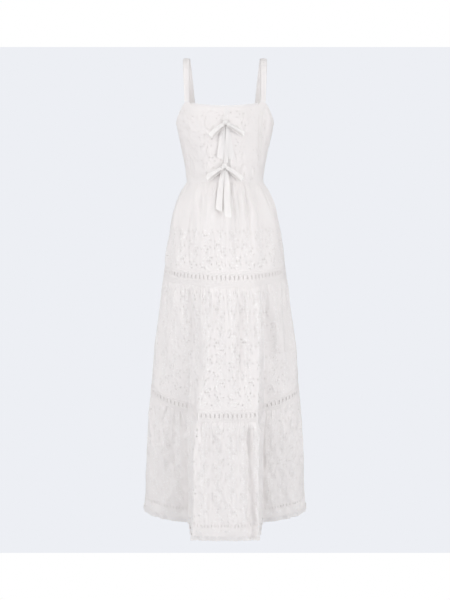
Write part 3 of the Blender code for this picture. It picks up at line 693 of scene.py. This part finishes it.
def cotton_material(name, colour, threads, bump, crinkle, sheen, roughness, through):
    """A woven white cotton that lets some light through, with weave, crinkle and mottling."""
    found = bpy.data.materials.get(name)
    if found:
        return found
    material = bpy.data.materials.new(name)
    material.use_nodes = True
    tree = material.node_tree
    uv = add_node(tree, "UVMap", uv_map="cloth").outputs["UV"]
    place = add_node(tree, "TexCoord").outputs["Object"]
    weave = add_node(tree, "Group", node_tree=node_group("plain weave"))
    feed(tree, weave, {"Threads per metre": threads, "Cloth": uv})
    rough = add_node(tree, "Group", node_tree=node_group("washed crinkle"))
    feed(tree, rough, {"Place": place})
    tone = maths(tree, "MULTIPLY_ADD", rough.outputs["Mottle"], 1.2,
                 maths(tree, "MULTIPLY_ADD", weave.outputs["Shade"], 0.5, -0.2))
    mix = add_node(tree, "Mix", {"A": (*[c * 0.955 for c in colour], 1), "B": (*colour, 1),
                                 "Factor": tone}, data_type="RGBA").outputs["Result"]
    first = add_node(tree, "Bump", {"Strength": crinkle, "Distance": 0.0012,
                                    "Height": rough.outputs["Height"]})
    second = add_node(tree, "Bump", {"Strength": bump, "Distance": 0.0002,
                                     "Height": weave.outputs["Height"],
                                     "Normal": first.outputs["Normal"]}).outputs["Normal"]
    shader = tree.nodes["Principled BSDF"]
    feed(tree, shader, {"Base Color": mix, "Normal": second, "Roughness": roughness,
                        "Sheen Weight": sheen, "Sheen Roughness": 0.5,
                        "Specular IOR Level": 0.25})
    glow = add_node(tree, "BsdfTranslucent", {"Color": mix, "Normal": second})
    both = add_node(tree, "MixShader", {"Fac": through, 1: shader.outputs["BSDF"],
                                        2: glow.outputs["BSDF"]})
    feed(tree, tree.nodes["Material Output"], {"Surface": both.outputs["Shader"]})
    return material


def add_piece(node, suffix, mesh, finish, replaced=True):
    """Adds a piece of the dress in one of its finishes, mostly in place of one solid."""
    title, slot, *look = FINISHES[finish]
    colour = getattr(bpy.context.scene.dress_finish, f"{finish}_colour")
    material = cotton_material(title, tuple(colour), *look)
    name = f"{node}_{suffix}"
    piece = bpy.data.objects.new(name, mesh.build(name, material))
    bpy.context.scene.collection.objects.link(piece)
    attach(piece, "root")
    if replaced:
        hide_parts(node)
    return piece


def add_sheet(node, suffix, mesh, finish, flat, held, replaced=True, **more):
    """Adds a piece that is one sheet of cloth; its flat size and how it is held are not used."""
    piece = add_piece(node, suffix, mesh, finish, replaced)


def add_embroidered(node, finish, pieces):
    """Adds an embroidered cloth, and the stitching that lies on it in a finish of its own."""
    mesh, thread = pieces
    piece = add_piece(node, "cloth", mesh, "cotton")
    stitches = add_piece(node, "stitches", thread, finish, replaced=False)


def tier_seed(name, side):
    return 2 * list(TIERS).index(name) + SIDES.index(side)


def tier_grid(name, side):
    """One tier's front or back on its fine grid: places, outward directions, lift and levels."""
    settings = bpy.context.scene.dress_cloth
    tier, seed = TIERS[name], tier_seed(name, side)
    height = tier.top - tier.bottom
    rows = int(round((height + 2 * SEAM_OVERLAP) / settings.cell))
    levels = np.linspace(tier.top + SEAM_OVERLAP, tier.bottom - SEAM_OVERLAP, rows + 1)
    share, points, out = ring_grid(side, levels, int(round(tier.cut / settings.cell)))
    down = (tier.top - levels)[:, None]
    below = np.maximum(down, 0)
    phase = 2 * math.pi * share
    uneven = 0.55 + 0.35 * np.sin(phase * 2.3 + seed) + 0.3 * np.sin(phase * 5.1 + 2 * seed)
    kept = (0.20 + 0.65 * np.exp(-below / GATHER_FADE)) * np.clip(uneven, 0.15, 1.1)
    lift = gather_height(tier, side, share, np.clip(down / height, 0, 1)) * kept
    lift = lift + puckers(share, below, tier.cut / PUCKER_PITCH, settings.pucker_depth, 40 + seed)
    crumpled = crumple(share * tier.cut, down, settings.crumple_depth, 60 + seed)
    edges = smooth(down / 0.05) * smooth((height - down + 0.02) / 0.05)
    lift = lift + crumpled * edges * within(share, 1, 0.03)
    lift = lift - troughs(CREASES[side], points[..., 0], points[..., 2], 1.0)
    top_nip = TOP_SEAM_NIP * (1 - smooth(down / 0.008))
    low_nip = LOW_SEAM_NIP * (1 - smooth((height - down) / 0.006))
    return points, out, lift - top_nip - low_nip, levels


class DRESS_OT_skirt(bpy.types.Operator):
    """Builds the three gathered tiers, front and back, with eyelets and embroidery"""

    bl_idname = "dress.skirt"
    bl_label = "Skirt tiers"

    def execute(self, context):
        for name, side in product(TIERS, SIDES):
            tier = TIERS[name]
            points, out, lift, _ = tier_grid(name, side)
            height = tier.top - tier.bottom
            cloth = Cloth(lifted(points, out, lift), height, tier.cut)
            slots = None
            if name == "lower_tier":
                row = cloth.rows - 1 - int(round(HEM_SLOTS_UP / cloth.cell[0]))
                slots = Holes((2, 1), HEM_SLOT_RINGS, 6.0,
                              [(row, c) for c in range(3, cloth.columns - 2, 4)])
            pieces = embroidered(cloth, 100 + tier_seed(name, side), (PLAIN_ROWS[name], 3), slots)
            add_embroidered(f"{name}_{side}", "thread", pieces)
        return {"FINISHED"}


def edge_height(degrees, side):
    from_seam = np.where(degrees > 90, 180 - degrees, degrees)
    return MM * np.interp(from_seam, *zip(*TOP_EDGE[side]))


def bodice_places(side, degrees, z):
    """Places on the bodice's outline, at their own heights and by angle from the left seam."""
    shape_z = np.minimum(z, edge_height(degrees, side))
    points = body(side, BASE_ANGLE[side] + np.radians(degrees), shape_z)
    points[..., 2] = z
    return points


def bodice_cloth(side, start, end):
    """The grid of a bodice piece between two angles from the left side seam of its side."""
    cell = bpy.context.scene.dress_cloth.cell
    fine = np.linspace(start, end, 721)
    middle = body(side, BASE_ANGLE[side] + np.radians(fine), np.float64(-0.25))
    run = running_length(middle[:, :2])
    columns = int(round(run[-1] / cell))
    degrees = np.interp(np.linspace(0, run[-1], columns + 1), run, fine)
    top, low = edge_height(degrees, side), WAIST - 0.0005
    rows = int(round((edge_height(np.array([36.0]), side)[0] - low) / cell))
    z = top + (low - top) * np.linspace(0, 1, rows + 1)[:, None]
    points = bodice_places(side, degrees, z)
    out = level_outward(points, side, (start == 0, end == 180))
    across, down = np.linspace(0, run[-1], columns + 1), top - z
    height = top - low
    fade = within(down, height, 0.03) * within(across, run[-1], 0.012)
    lift = crumple(across, down, BODICE_WRINKLES, 80 + start + SIDES.index(side)) * fade
    lift = lift + TOP_HEM * bell(down, 0.0035, 0.0022)
    lift = lift - troughs(BODICE_CREASES[side], points[..., 0], z)
    return Cloth(lifted(points, out, lift), height.mean(), run[-1])


class DRESS_OT_bodice(bpy.types.Operator):
    """Builds the two front halves of the bodice and its back"""

    bl_idname = "dress.bodice"
    bl_label = "Bodice"

    def execute(self, context):
        for k, (name, side, start, end) in enumerate(BODICE_PARTS):
            cloth = bodice_cloth(side, start, end)
            add_embroidered(name, "cotton", embroidered(cloth, 200 + k, (3, 2), flowers=()))
        return {"FINISHED"}


def sheet_area(points):
    """The area of a grid of cloth points, in square metres."""
    down, across = np.diff(points, axis=0)[:, :-1], np.diff(points, axis=1)[:-1]
    return float(np.linalg.norm(np.cross(down, across), axis=-1).sum())


def lowest(values, reach):
    """The least value near each place of a grid."""
    padded = np.pad(values, reach, mode="edge")
    size = 2 * reach + 1
    return np.lib.stride_tricks.sliding_window_view(padded, (size, size)).min(axis=(2, 3))


def bodice_lining(side):
    """Rows of the bodice lining, from just below the top edge to the waist."""
    degrees = np.linspace(0, 180, 121)
    top = edge_height(degrees, side) - 0.0004
    z = top + (WAIST - top) * np.linspace(0, 1, 22)[:, None]
    points = bodice_places(side, degrees, z)
    inward = 0.0005 + 0.0027 * smooth((top - z) / 0.012)
    inward = inward + troughs(BODICE_CREASES[side], points[..., 0], z, 1.0)
    return lifted(points, level_outward(points, side), -inward)


def skirt_lining(side):
    """Rows of the skirt lining, which follows the creases of the tiers just inside them."""
    shares = np.linspace(0, 1, LINING_COLUMNS + 1)
    ladders = list(LADDERS.values())
    rows = []
    for name in TIERS:
        points, out, lift, levels = tier_grid(name, side)
        inward = TIER_INSET + INSET_BELOW_WAIST * smooth((WAIST - levels) / 0.03)
        inset = lifted(points, out, lowest(lift, 3) - inward[:, None])
        own = np.linspace(0, 1, lift.shape[1])
        rows += [resample(shares, own, row) for row in inset[:-3:4]]
        if ladders:
            top, bottom = ladders.pop(0)
            levels = np.linspace(top - 0.006, bottom + 0.009, 4)
            _, points, out = ring_grid(side, levels, LINING_COLUMNS)
            rows += list(points - out * LADDER_INSET)
    return np.stack(rows)


class DRESS_OT_lining(bpy.types.Operator):
    """Builds the plain cotton lawn lining just inside the bodice and the skirt"""

    bl_idname = "dress.lining"
    bl_label = "Lining"

    def execute(self, context):
        parts = (("bodice", bodice_lining, "stretched"), ("skirt", skirt_lining, "hung"))
        for side, (name, lining, held) in product(SIDES, parts):
            points = lining(side)
            wide = np.linalg.norm(np.diff(points, axis=1), axis=-1).sum(axis=1).max()
            tall = np.linalg.norm(np.diff(points, axis=0), axis=-1).sum(axis=0).max()
            add_sheet(f"{name}_{side}", "lining", pierce(Cloth(points, tall, wide)), "cotton",
                      (to_mm(wide), to_mm(tall)), held, replaced=False,
                      area=round(sheet_area(points), 4))
        return {"FINISHED"}


class DRESS_OT_ladders(bpy.types.Operator):
    """Builds the two slotted lace insertions with their stitched bars"""

    bl_idname = "dress.ladders"
    bl_label = "Slotted insertions"

    def execute(self, context):
        for (name, (top, bottom)), side in product(LADDERS.items(), SIDES):
            height, length = top - bottom, ring_length(side, (top + bottom) / 2)
            count = int(round(length / SLOT_PITCH))
            levels = np.linspace(top, bottom, int(round(height / LADDER_ROW)) + 1)
            _, points, out = ring_grid(side, levels, count * STEPS)
            bars = ((0.0022, 0.0007), (0.0215, 0.0007), (height - 0.0022, 0.0006))
            ridge = sum(bell(top - levels, place, 0.0011) * size for place, size in bars)
            cloth = Cloth(lifted(points, out, (0.0003 + ridge)[:, None]), height, length)
            row = int(round(SLOTS_DOWN / cloth.cell[0]))
            slots = Holes((4, 2), LADDER_SLOT_RINGS, 8.0,
                          [(row, STEPS * i + 3) for i in range(count)])
            add_sheet(f"{name}_{side}", "lace", pierce(cloth, [slots]), "lace",
                      (to_mm(length), round(height, 4)), "stretched")
        return {"FINISHED"}


class DRESS_OT_hem_lace(bpy.types.Operator):
    """Builds the scalloped, pierced edging round the hem"""

    bl_idname = "dress.hem_lace"
    bl_label = "Hem edging"

    def execute(self, context):
        for side in SIDES:
            length = ring_length(side, HEM)
            scallops = int(round(length / HEM_SCALLOP))
            down = np.linspace(0, 1, 9)[:, None]
            top = HEM_LACE_TOP + 0.0015
            share, points, out = ring_grid(side, top + (HEM - top) * down[:, 0], scallops * STEPS)
            points[..., 2] -= 0.0026 * np.abs(np.sin(math.pi * scallops * share)) ** 0.6 * down
            lift = gather_height(TIERS["lower_tier"], side, share, np.ones(down.shape))
            lift = lift + 0.0008 * bell(down, 0.93, 0.09) + 0.0006 * bell(down, 0.12, 0.1) + 0.0003
            cloth = Cloth(lifted(points, out, lift), HEM_EDGING_HEIGHT, length)
            centres = [(4, STEPS * i + 3) for i in range(scallops)]
            centres += [(2, STEPS * i) for i in range(1, scallops)]
            holes = round_holes((0.92, 0.78, 0.58), (0.0, 0.0006, 0.0), centres)
            add_sheet(f"hem_lace_{side}", "edging", pierce(cloth, [holes]), "lace",
                      (to_mm(length), 0.0165), "hung")
        return {"FINISHED"}


class DRESS_OT_neck_lace(bpy.types.Operator):
    """Builds the scalloped edging that stands on the front neckline"""

    bl_idname = "dress.neck_lace"
    bl_label = "Neckline edging"

    def execute(self, context):
        share = np.linspace(0, 1, NECK_SCALLOPS * STEPS + 1)
        degrees = NECK_LACE_FROM + (180 - 2 * NECK_LACE_FROM) * share
        arch = np.abs(np.sin(math.pi * NECK_SCALLOPS * share)) ** 0.7
        down = np.linspace(0, 1, 7)[:, None]
        stands = NECK_LACE_HEIGHT * (0.62 + 0.38 * arch) + TUCKED_IN
        z = edge_height(degrees, "front") - TUCKED_IN + stands * (1 - down)
        points = bodice_places("front", degrees, z)
        out = level_outward(points, "front", (False, False))
        out[:, 0], out[:, -1] = out[:, 1], out[:, -2]
        lift = 0.0004 + 0.0006 * bell(down, 0.08, 0.12) + 0.0005 * bell(down, 0.8, 0.1)
        points = lifted(points, out, lift)
        length = running_length(points[-1])[-1]
        cloth = Cloth(points, 0.0075, length)
        holes = round_holes((0.9, 0.76, 0.56), (0.0, 0.0004, 0.0),
                            [(3, STEPS * i + 3) for i in range(NECK_SCALLOPS)])
        add_sheet("neck_lace", "edging", pierce(cloth, [holes]), "lace", (to_mm(length), 0.010),
                  "stretched")
        return {"FINISHED"}


def curve_through(points, steps):
    """Positions on a smooth curve through points, with steps in each gap."""
    points = np.asarray(points, float)
    padded = np.concatenate([points[:1], points, points[-1:]])
    t = (np.arange(steps) / steps)[:, None]
    line = []
    for p0, p1, p2, p3 in zip(padded, padded[1:], padded[2:], padded[3:]):
        line.append(0.5 * (2 * p1 + (p2 - p0) * t + (2 * p0 - 5 * p1 + 4 * p2 - p3) * t**2
                           + (3 * p1 - p0 - 3 * p2 + p3) * t**3))
    return np.concatenate(line + [points[-1:]])


def strap_cloth(side, columns, step, half, depth):
    """A strap's cloth and length: half and depth give its half width and how far out it lies."""
    line = curve_through(STRAP_LINE, 24)
    run = running_length(line[:, :3])
    index = np.arange(int(round(run[-1] / step)) + 1)
    line = resample(np.linspace(0, run[-1], len(index)), run, line)
    ahead = np.gradient(line[:, :3], axis=0)
    ahead[0], ahead[-1] = (0, 0, 1), (0, 0, -1)
    turn = np.radians(line[:, 3])
    across = together(np.cos(turn), np.sin(turn), 0.0)
    out = unit(np.cross(across, ahead))
    spread = np.linspace(-1, 1, columns + 1)
    reach = half(index)[:, None] * spread
    points = lifted(line[:, None, :3], across[:, None], reach)
    points = lifted(points, out[:, None], depth(index[:, None], spread))
    if side == "left":
        points = points[:, ::-1] * (-1, 1, 1)
    return Cloth(points[::-1], step * index[-1], 2 * half(np.zeros(1))[0]), to_mm(run[-1])


def plain_half(index):
    return np.full(len(index), STRAP_WIDTH / 2)


def plain_depth(index, spread):
    pleat = 0.0003 * np.sin(spread * 9.0 + index * 0.05)
    return 0.0008 + 0.0006 * bell(np.abs(spread), 0.86, 0.10) + pleat * (1 - spread**2)


def scalloped_half(index):
    return 0.0102 - 0.0017 * (1 - np.abs(np.sin(math.pi * index / 4)) ** 0.7)


def scalloped_depth(index, spread):
    return -0.0014 + 0.0006 * bell(np.abs(spread), 0.93, 0.05)


# Each layer: node, suffix, finish, width, columns, step, half width and how far out it lies
STRAP_LAYERS = (
    ("strap", "cloth", "cotton", STRAP_WIDTH, 8, 0.0019, plain_half, plain_depth),
    ("strap_lace", "edging", "lace", 0.0195, 12, 0.0018, scalloped_half, scalloped_depth),
)


class DRESS_OT_straps(bpy.types.Operator):
    """Builds the shoulder straps and the scalloped lace sewn under each"""

    bl_idname = "dress.straps"
    bl_label = "Straps"

    def execute(self, context):
        for side, layer in product(("left", "right"), STRAP_LAYERS):
            node, suffix, finish, width, *shape = layer
            cloth, length = strap_cloth(side, *shape)
            places = [(r, 4) for r in range(3, cloth.rows - 3, 5)] if node == "strap" else []
            holes = round_holes((0.9, 0.74, 0.52), (0.0, 0.0004, 0.0), places)
            add_sheet(f"{node}_{side}", suffix, pierce(cloth, [holes]), finish, (width, length),
                      "stretched")
        return {"FINISHED"}


def front_place(x, z, out):
    """A place out from the front cloth, on the front view."""
    half = read_table(OUTLINE, HALF, z)
    share = np.maximum(0.0, 1 - np.abs(x / half) ** ROUNDNESS) ** (1 / ROUNDNESS)
    depth = (read_table(OUTLINE, FRONT, z) + cup_shape(x, z)) * share
    return together(x, -depth - read_table(PANEL, PUSH, z) * panel_share(x, z) - out, z)


class DRESS_OT_placket(bpy.types.Operator):
    """Builds the stitched strip over the centre-front opening"""

    bl_idname = "dress.placket"
    bl_label = "Placket"

    def execute(self, context):
        z = np.linspace(-0.1425, WAIST - 0.0006, 101)[:, None]
        x, part = np.linspace(-0.0035, 0.0095, 13), np.linspace(0, 1, 13)
        from_middle = np.abs(part - 0.5)
        proud = smooth((-0.195 - z) / 0.03)
        edges = (bell(part, 0.1, 0.05) + bell(part, 0.9, 0.05)) * 0.0012 * proud
        dents = 0.0002 * np.sin(z * 900) * (from_middle > 0.3)
        fall = (0.0006 + 0.0012 * proud) * smooth((from_middle - 0.42) / 0.08)
        points = front_place(x, z, 0.0008 + 0.0014 * proud + edges + dents - fall)
        add_sheet("front_placket", "strip", grid_mesh(points, together(x, z)), "ribbon",
                  (0.013, 0.204), "stretched")
        return {"FINISHED"}


def ribbon_mesh(root, toward, stations, is_tail, seed, turn=0.0):
    """A ribbon laid over the front cloth through stations of along, out and width.

    A turn in degrees rolls a loop about its length, so that its mouth shows from the front.
    """
    toward = np.array(toward) / math.hypot(*toward)
    line = curve_through(stations, 10)
    length = running_length(line[:, :2])[:, None]
    whole = length[-1, 0]
    ahead = unit(np.gradient(line[:, :2], axis=0))
    spread = np.linspace(-1, 1, 13)
    phase = np.random.default_rng(seed).uniform(0, 6.28, 3)
    near = np.exp(-(length if is_tail else np.minimum(length, whole - length)) / PLEAT_LENGTH)
    lift = 0.0011 * near * np.sin(spread * 8.5 + phase[0])
    lift = lift + 0.0005 * np.sin(spread * 2.6 + length * 60 + phase[1])
    lift = lift + 0.0006 * (1 - spread**2)
    s = line[:, :1] - ahead[:, 1:] * lift
    out = line[:, 1:2] + ahead[:, :1] * lift
    half = line[:, 2:] / 2
    aside = half * spread
    if is_tail:
        s = s + 0.006 * smooth((length / whole - 0.8) / 0.2) * spread * 0.5
        aside = aside + 0.0012 * np.sin(length * 45 + phase[2])
    roll = np.radians(turn) * smooth(s / 0.022)
    rise = out - (LOOP_MIDDLE if turn else 0.0)
    out = out - rise + rise * np.cos(roll) + aside * np.sin(roll)
    aside = aside * np.cos(roll) - rise * np.sin(roll)
    x, z = (start + along * s + across * aside
            for start, along, across in zip(root, toward, (-toward[1], toward[0])))
    return grid_mesh(front_place(x, z, out), together(half * spread, -length)), to_mm(whole)


def knot_mesh(x, z, k):
    """A closed wrap of creased ribbon round the middle of a bow."""
    lat = np.linspace(-1.5, 1.5, 19)[:, None]
    lon = np.linspace(0, 2 * math.pi, 37)
    crease = (1 + 0.055 * np.sin(lon * 2 + lat * 6 + k)
              + 0.04 * np.sin(lat * 11 + 1.3 * np.cos(lon)))
    radius = np.cos(lat) ** 0.55 * crease
    shape = together(signed_power(np.sin(lat), 0.8), radius * np.cos(lon), radius * np.sin(lon))
    centre = front_place(np.float64(x), np.float64(z), KNOT_OUT)
    return grid_mesh(centre + shape * KNOT_RADII, together(lon * 0.006, lat * 0.006))


class DRESS_OT_bows(bpy.types.Operator):
    """Builds the two tied bows: loops, tails and a wrapped knot each"""

    bl_idname = "dress.bows"
    bl_label = "Bows"

    def execute(self, context):
        start, reach = LOOP_LINE[0, 0], LOOP_LINE[:, 0].max()
        for k, (bow, x, z, tail_out, ribbons) in enumerate(BOWS):
            for i, (name, *toward, length, turn) in enumerate(ribbons):
                root_x, seed, is_tail = x, 10 * k + i, name.startswith("tail")
                if is_tail:
                    root_x, seed = x + math.copysign(TAIL_SPREAD, toward[0]), seed + 3
                    line = TAIL_LINE * (length, 1, 1) + (0, tail_out, 0)
                    line = np.concatenate([[TAIL_ROOT], line])
                else:
                    line = LOOP_LINE.copy()
                    line[:, 0] = start + (line[:, 0] - start) * (length - start) / (reach - start)
                mesh, run = ribbon_mesh((root_x, z), toward, line, is_tail, seed, turn)
                add_sheet(f"{bow}_{name}", "ribbon", mesh, "ribbon", (RIBBON_WIDTH, run),
                          "hung" if is_tail else "folded")
            add_piece(f"{bow}_knot", "wrap", knot_mesh(x, z, k), "ribbon")
        return {"FINISHED"}


def show_camera(tree, lit, seen, output):
    """Lights the scene with one shader and shows the camera another."""
    mix = add_node(tree, "MixShader", {
        "Fac": add_node(tree, "LightPath").outputs["Is Camera Ray"],
        1: lit.outputs[0], 2: seen.outputs[0],
    })
    feed(tree, tree.nodes[output], {"Surface": mix.outputs["Shader"]})


def plain_material(name, colour):
    """An evenly lit studio surface that throws only a little light on the dress."""
    material = bpy.data.materials.new(name)
    material.use_nodes = True
    tree = material.node_tree
    shader = tree.nodes["Principled BSDF"]
    feed(tree, shader, {"Base Color": BOUNCE_COLOUR, "Roughness": 1.0,
                        "Specular IOR Level": 0.0})
    show_camera(tree, shader, add_node(tree, "Emission", {"Color": (*colour, 1)}),
                "Material Output")
    return material


def add_aimed(name, data, place, target_z):
    """Adds a camera or a lamp, aimed at a height on the dress's middle line."""
    thing = bpy.data.objects.new(name, data)
    thing.location = place
    to_target = Vector((0, 0, target_z)) - thing.location
    thing.rotation_euler = to_target.to_track_quat("-Z", "Y").to_euler()
    bpy.context.scene.collection.objects.link(thing)
    return thing


class DRESS_OT_stage(bpy.types.Operator):
    """Builds the pale studio, its lights and the camera"""

    bl_idname = "dress.stage"
    bl_label = "Studio"

    def execute(self, context):
        scene = context.scene
        settings = scene.dress_stage
        camera = bpy.data.cameras.new("camera")
        camera.lens, camera.sensor_width = settings.lens, 36
        scene.camera = add_aimed("camera", camera, CAMERA_PLACE, CAMERA_AIM)
        ground = plain_material("studio ground", tuple(settings.ground_colour))
        margin = plain_material("studio white", (1, 1, 1))
        floor, wall = settings.floor_height, settings.wall_distance
        seam, top = settings.floor_edge, settings.wall_top
        strips = (
            ("floor_front", margin, (-8.0, floor), (seam, floor)),
            ("floor", ground, (seam, floor), (wall, floor)),
            ("backdrop", ground, (wall, floor), (wall, top)),
            ("backdrop_top", margin, (wall, top), (wall, top + 1.2)),
        )
        for name, material, near, far in strips:
            corners = [(x, *end) for x, end in zip((-6, 6, 6, -6), (near, near, far, far))]
            data = bpy.data.meshes.new(name)
            data.from_pydata(corners, [], [(0, 1, 2, 3)])
            data.materials.append(material)
            plane = bpy.data.objects.new(name, data)
            scene.collection.objects.link(plane)
        scene.world = bpy.data.worlds.new("studio")
        scene.world.use_nodes = True
        tree = scene.world.node_tree
        light = tree.nodes["Background"]
        feed(tree, light, {"Color": SKY_COLOUR, "Strength": settings.sky_strength})
        seen = add_node(tree, "Background", {"Color": (*settings.ground_colour, 1)})
        show_camera(tree, light, seen, "World Output")
        for name, place, size, tint in LAMPS:
            lamp = bpy.data.lights.new(name, "AREA")
            lamp.size, lamp.color = size, tint
            lamp.energy = getattr(settings, f"{name}_power")
            add_aimed(name, lamp, place, LAMP_AIM)
        scene.view_settings.view_transform = "Standard"
        scene.view_settings.look = "None"
        return {"FINISHED"}


def metres(name, description, default):
    return FloatProperty(name=name, description=description, default=default, unit="LENGTH")


def power(name, description, default):
    return FloatProperty(name=name, description=description, default=default, subtype="POWER")


def colour(name, description, default):
    return FloatVectorProperty(name=name, description=description, default=default,
                               subtype="COLOR")


class DressCloth(bpy.types.PropertyGroup):
    """Sizes of the embroidered cloth"""

    cell: metres("Cell", "Spacing of the cloth's grid", 0.003)
    eyelet_radius: metres("Eyelet", "Radius of an eyelet", 0.0018)
    rim_height: metres("Rim", "Height of an eyelet's stitched rim", 0.0004)
    stitch_height: metres("Stitch", "Height of satin stitching", 0.0007)
    pucker_depth: metres("Puckers", "Depth of the pleats below a gathered seam", 0.0016)
    crumple_depth: metres("Wrinkles", "Depth of soft wrinkles", 0.0009)


class DressFinish(bpy.types.PropertyGroup):
    """Colours of the cotton, lace, ribbon and thread"""

    cotton_colour: colour("Cotton", "Colour of the eyelet cotton", (0.913, 0.883, 0.870))
    thread_colour: colour("Thread", "Colour of the embroidery", (0.955, 0.937, 0.926))
    lace_colour: colour("Lace", "Colour of the lace trims", (0.915, 0.886, 0.874))
    ribbon_colour: colour("Ribbon", "Colour of the bows and placket", (0.918, 0.898, 0.886))


class DressStage(bpy.types.PropertyGroup):
    """The studio round the dress"""

    ground_colour: colour("Ground", "Colour of the floor and backdrop", (0.847, 0.863, 0.905))
    floor_height: metres("Floor", "Height of the floor", -1.45)
    wall_distance: metres("Backdrop", "Distance of the backdrop", 4.2)
    wall_top: metres("Backdrop top", "Where the grey backdrop ends", 0.572)
    floor_edge: metres("Floor edge", "Where the grey floor starts", 0.0)
    lens: FloatProperty(name="Lens", description="Focal length in millimetres", default=62.2)
    sky_strength: FloatProperty(name="Sky", description="Strength of the light from all round",
                                default=0.775)
    key_power: power("Key", "Power of the main light", 4)
    left_power: power("Left", "Power of the left side light", 54)
    right_power: power("Right", "Power of the right side light", 51)


OPERATORS = (DRESS_OT_bodice, DRESS_OT_skirt, DRESS_OT_lining, DRESS_OT_ladders,
             DRESS_OT_hem_lace, DRESS_OT_neck_lace, DRESS_OT_straps, DRESS_OT_placket,
             DRESS_OT_bows, DRESS_OT_stage)
SETTINGS = (("dress_cloth", DressCloth), ("dress_finish", DressFinish),
            ("dress_stage", DressStage))


class DRESS_PT_panel(bpy.types.Panel):
    """Lists the dress's pieces and settings"""

    bl_label = "Dress"
    bl_idname = "DRESS_PT_panel"
    bl_space_type = "VIEW_3D"
    bl_region_type = "UI"
    bl_category = "Dress"

    def draw(self, context):
        for name, group in SETTINGS:
            box = self.layout.box()
            for label in group.__annotations__:
                box.prop(getattr(context.scene, name), label)
        for operator in OPERATORS:
            self.layout.operator(operator.bl_idname)


CLASSES = (*(group for _, group in SETTINGS), *OPERATORS, DRESS_PT_panel)


def register():
    for item in CLASSES:
        bpy.utils.register_class(item)
    for name, group in SETTINGS:
        setattr(bpy.types.Scene, name, PointerProperty(type=group))


def unregister():
    for name, _ in SETTINGS:
        delattr(bpy.types.Scene, name)
    for item in reversed(CLASSES):
        bpy.utils.unregister_class(item)


def main():
    register()
    for operator in OPERATORS:
        group, name = operator.bl_idname.split(".")
        getattr(getattr(bpy.ops, group), name)()


if __name__ == "__main__":
    main()
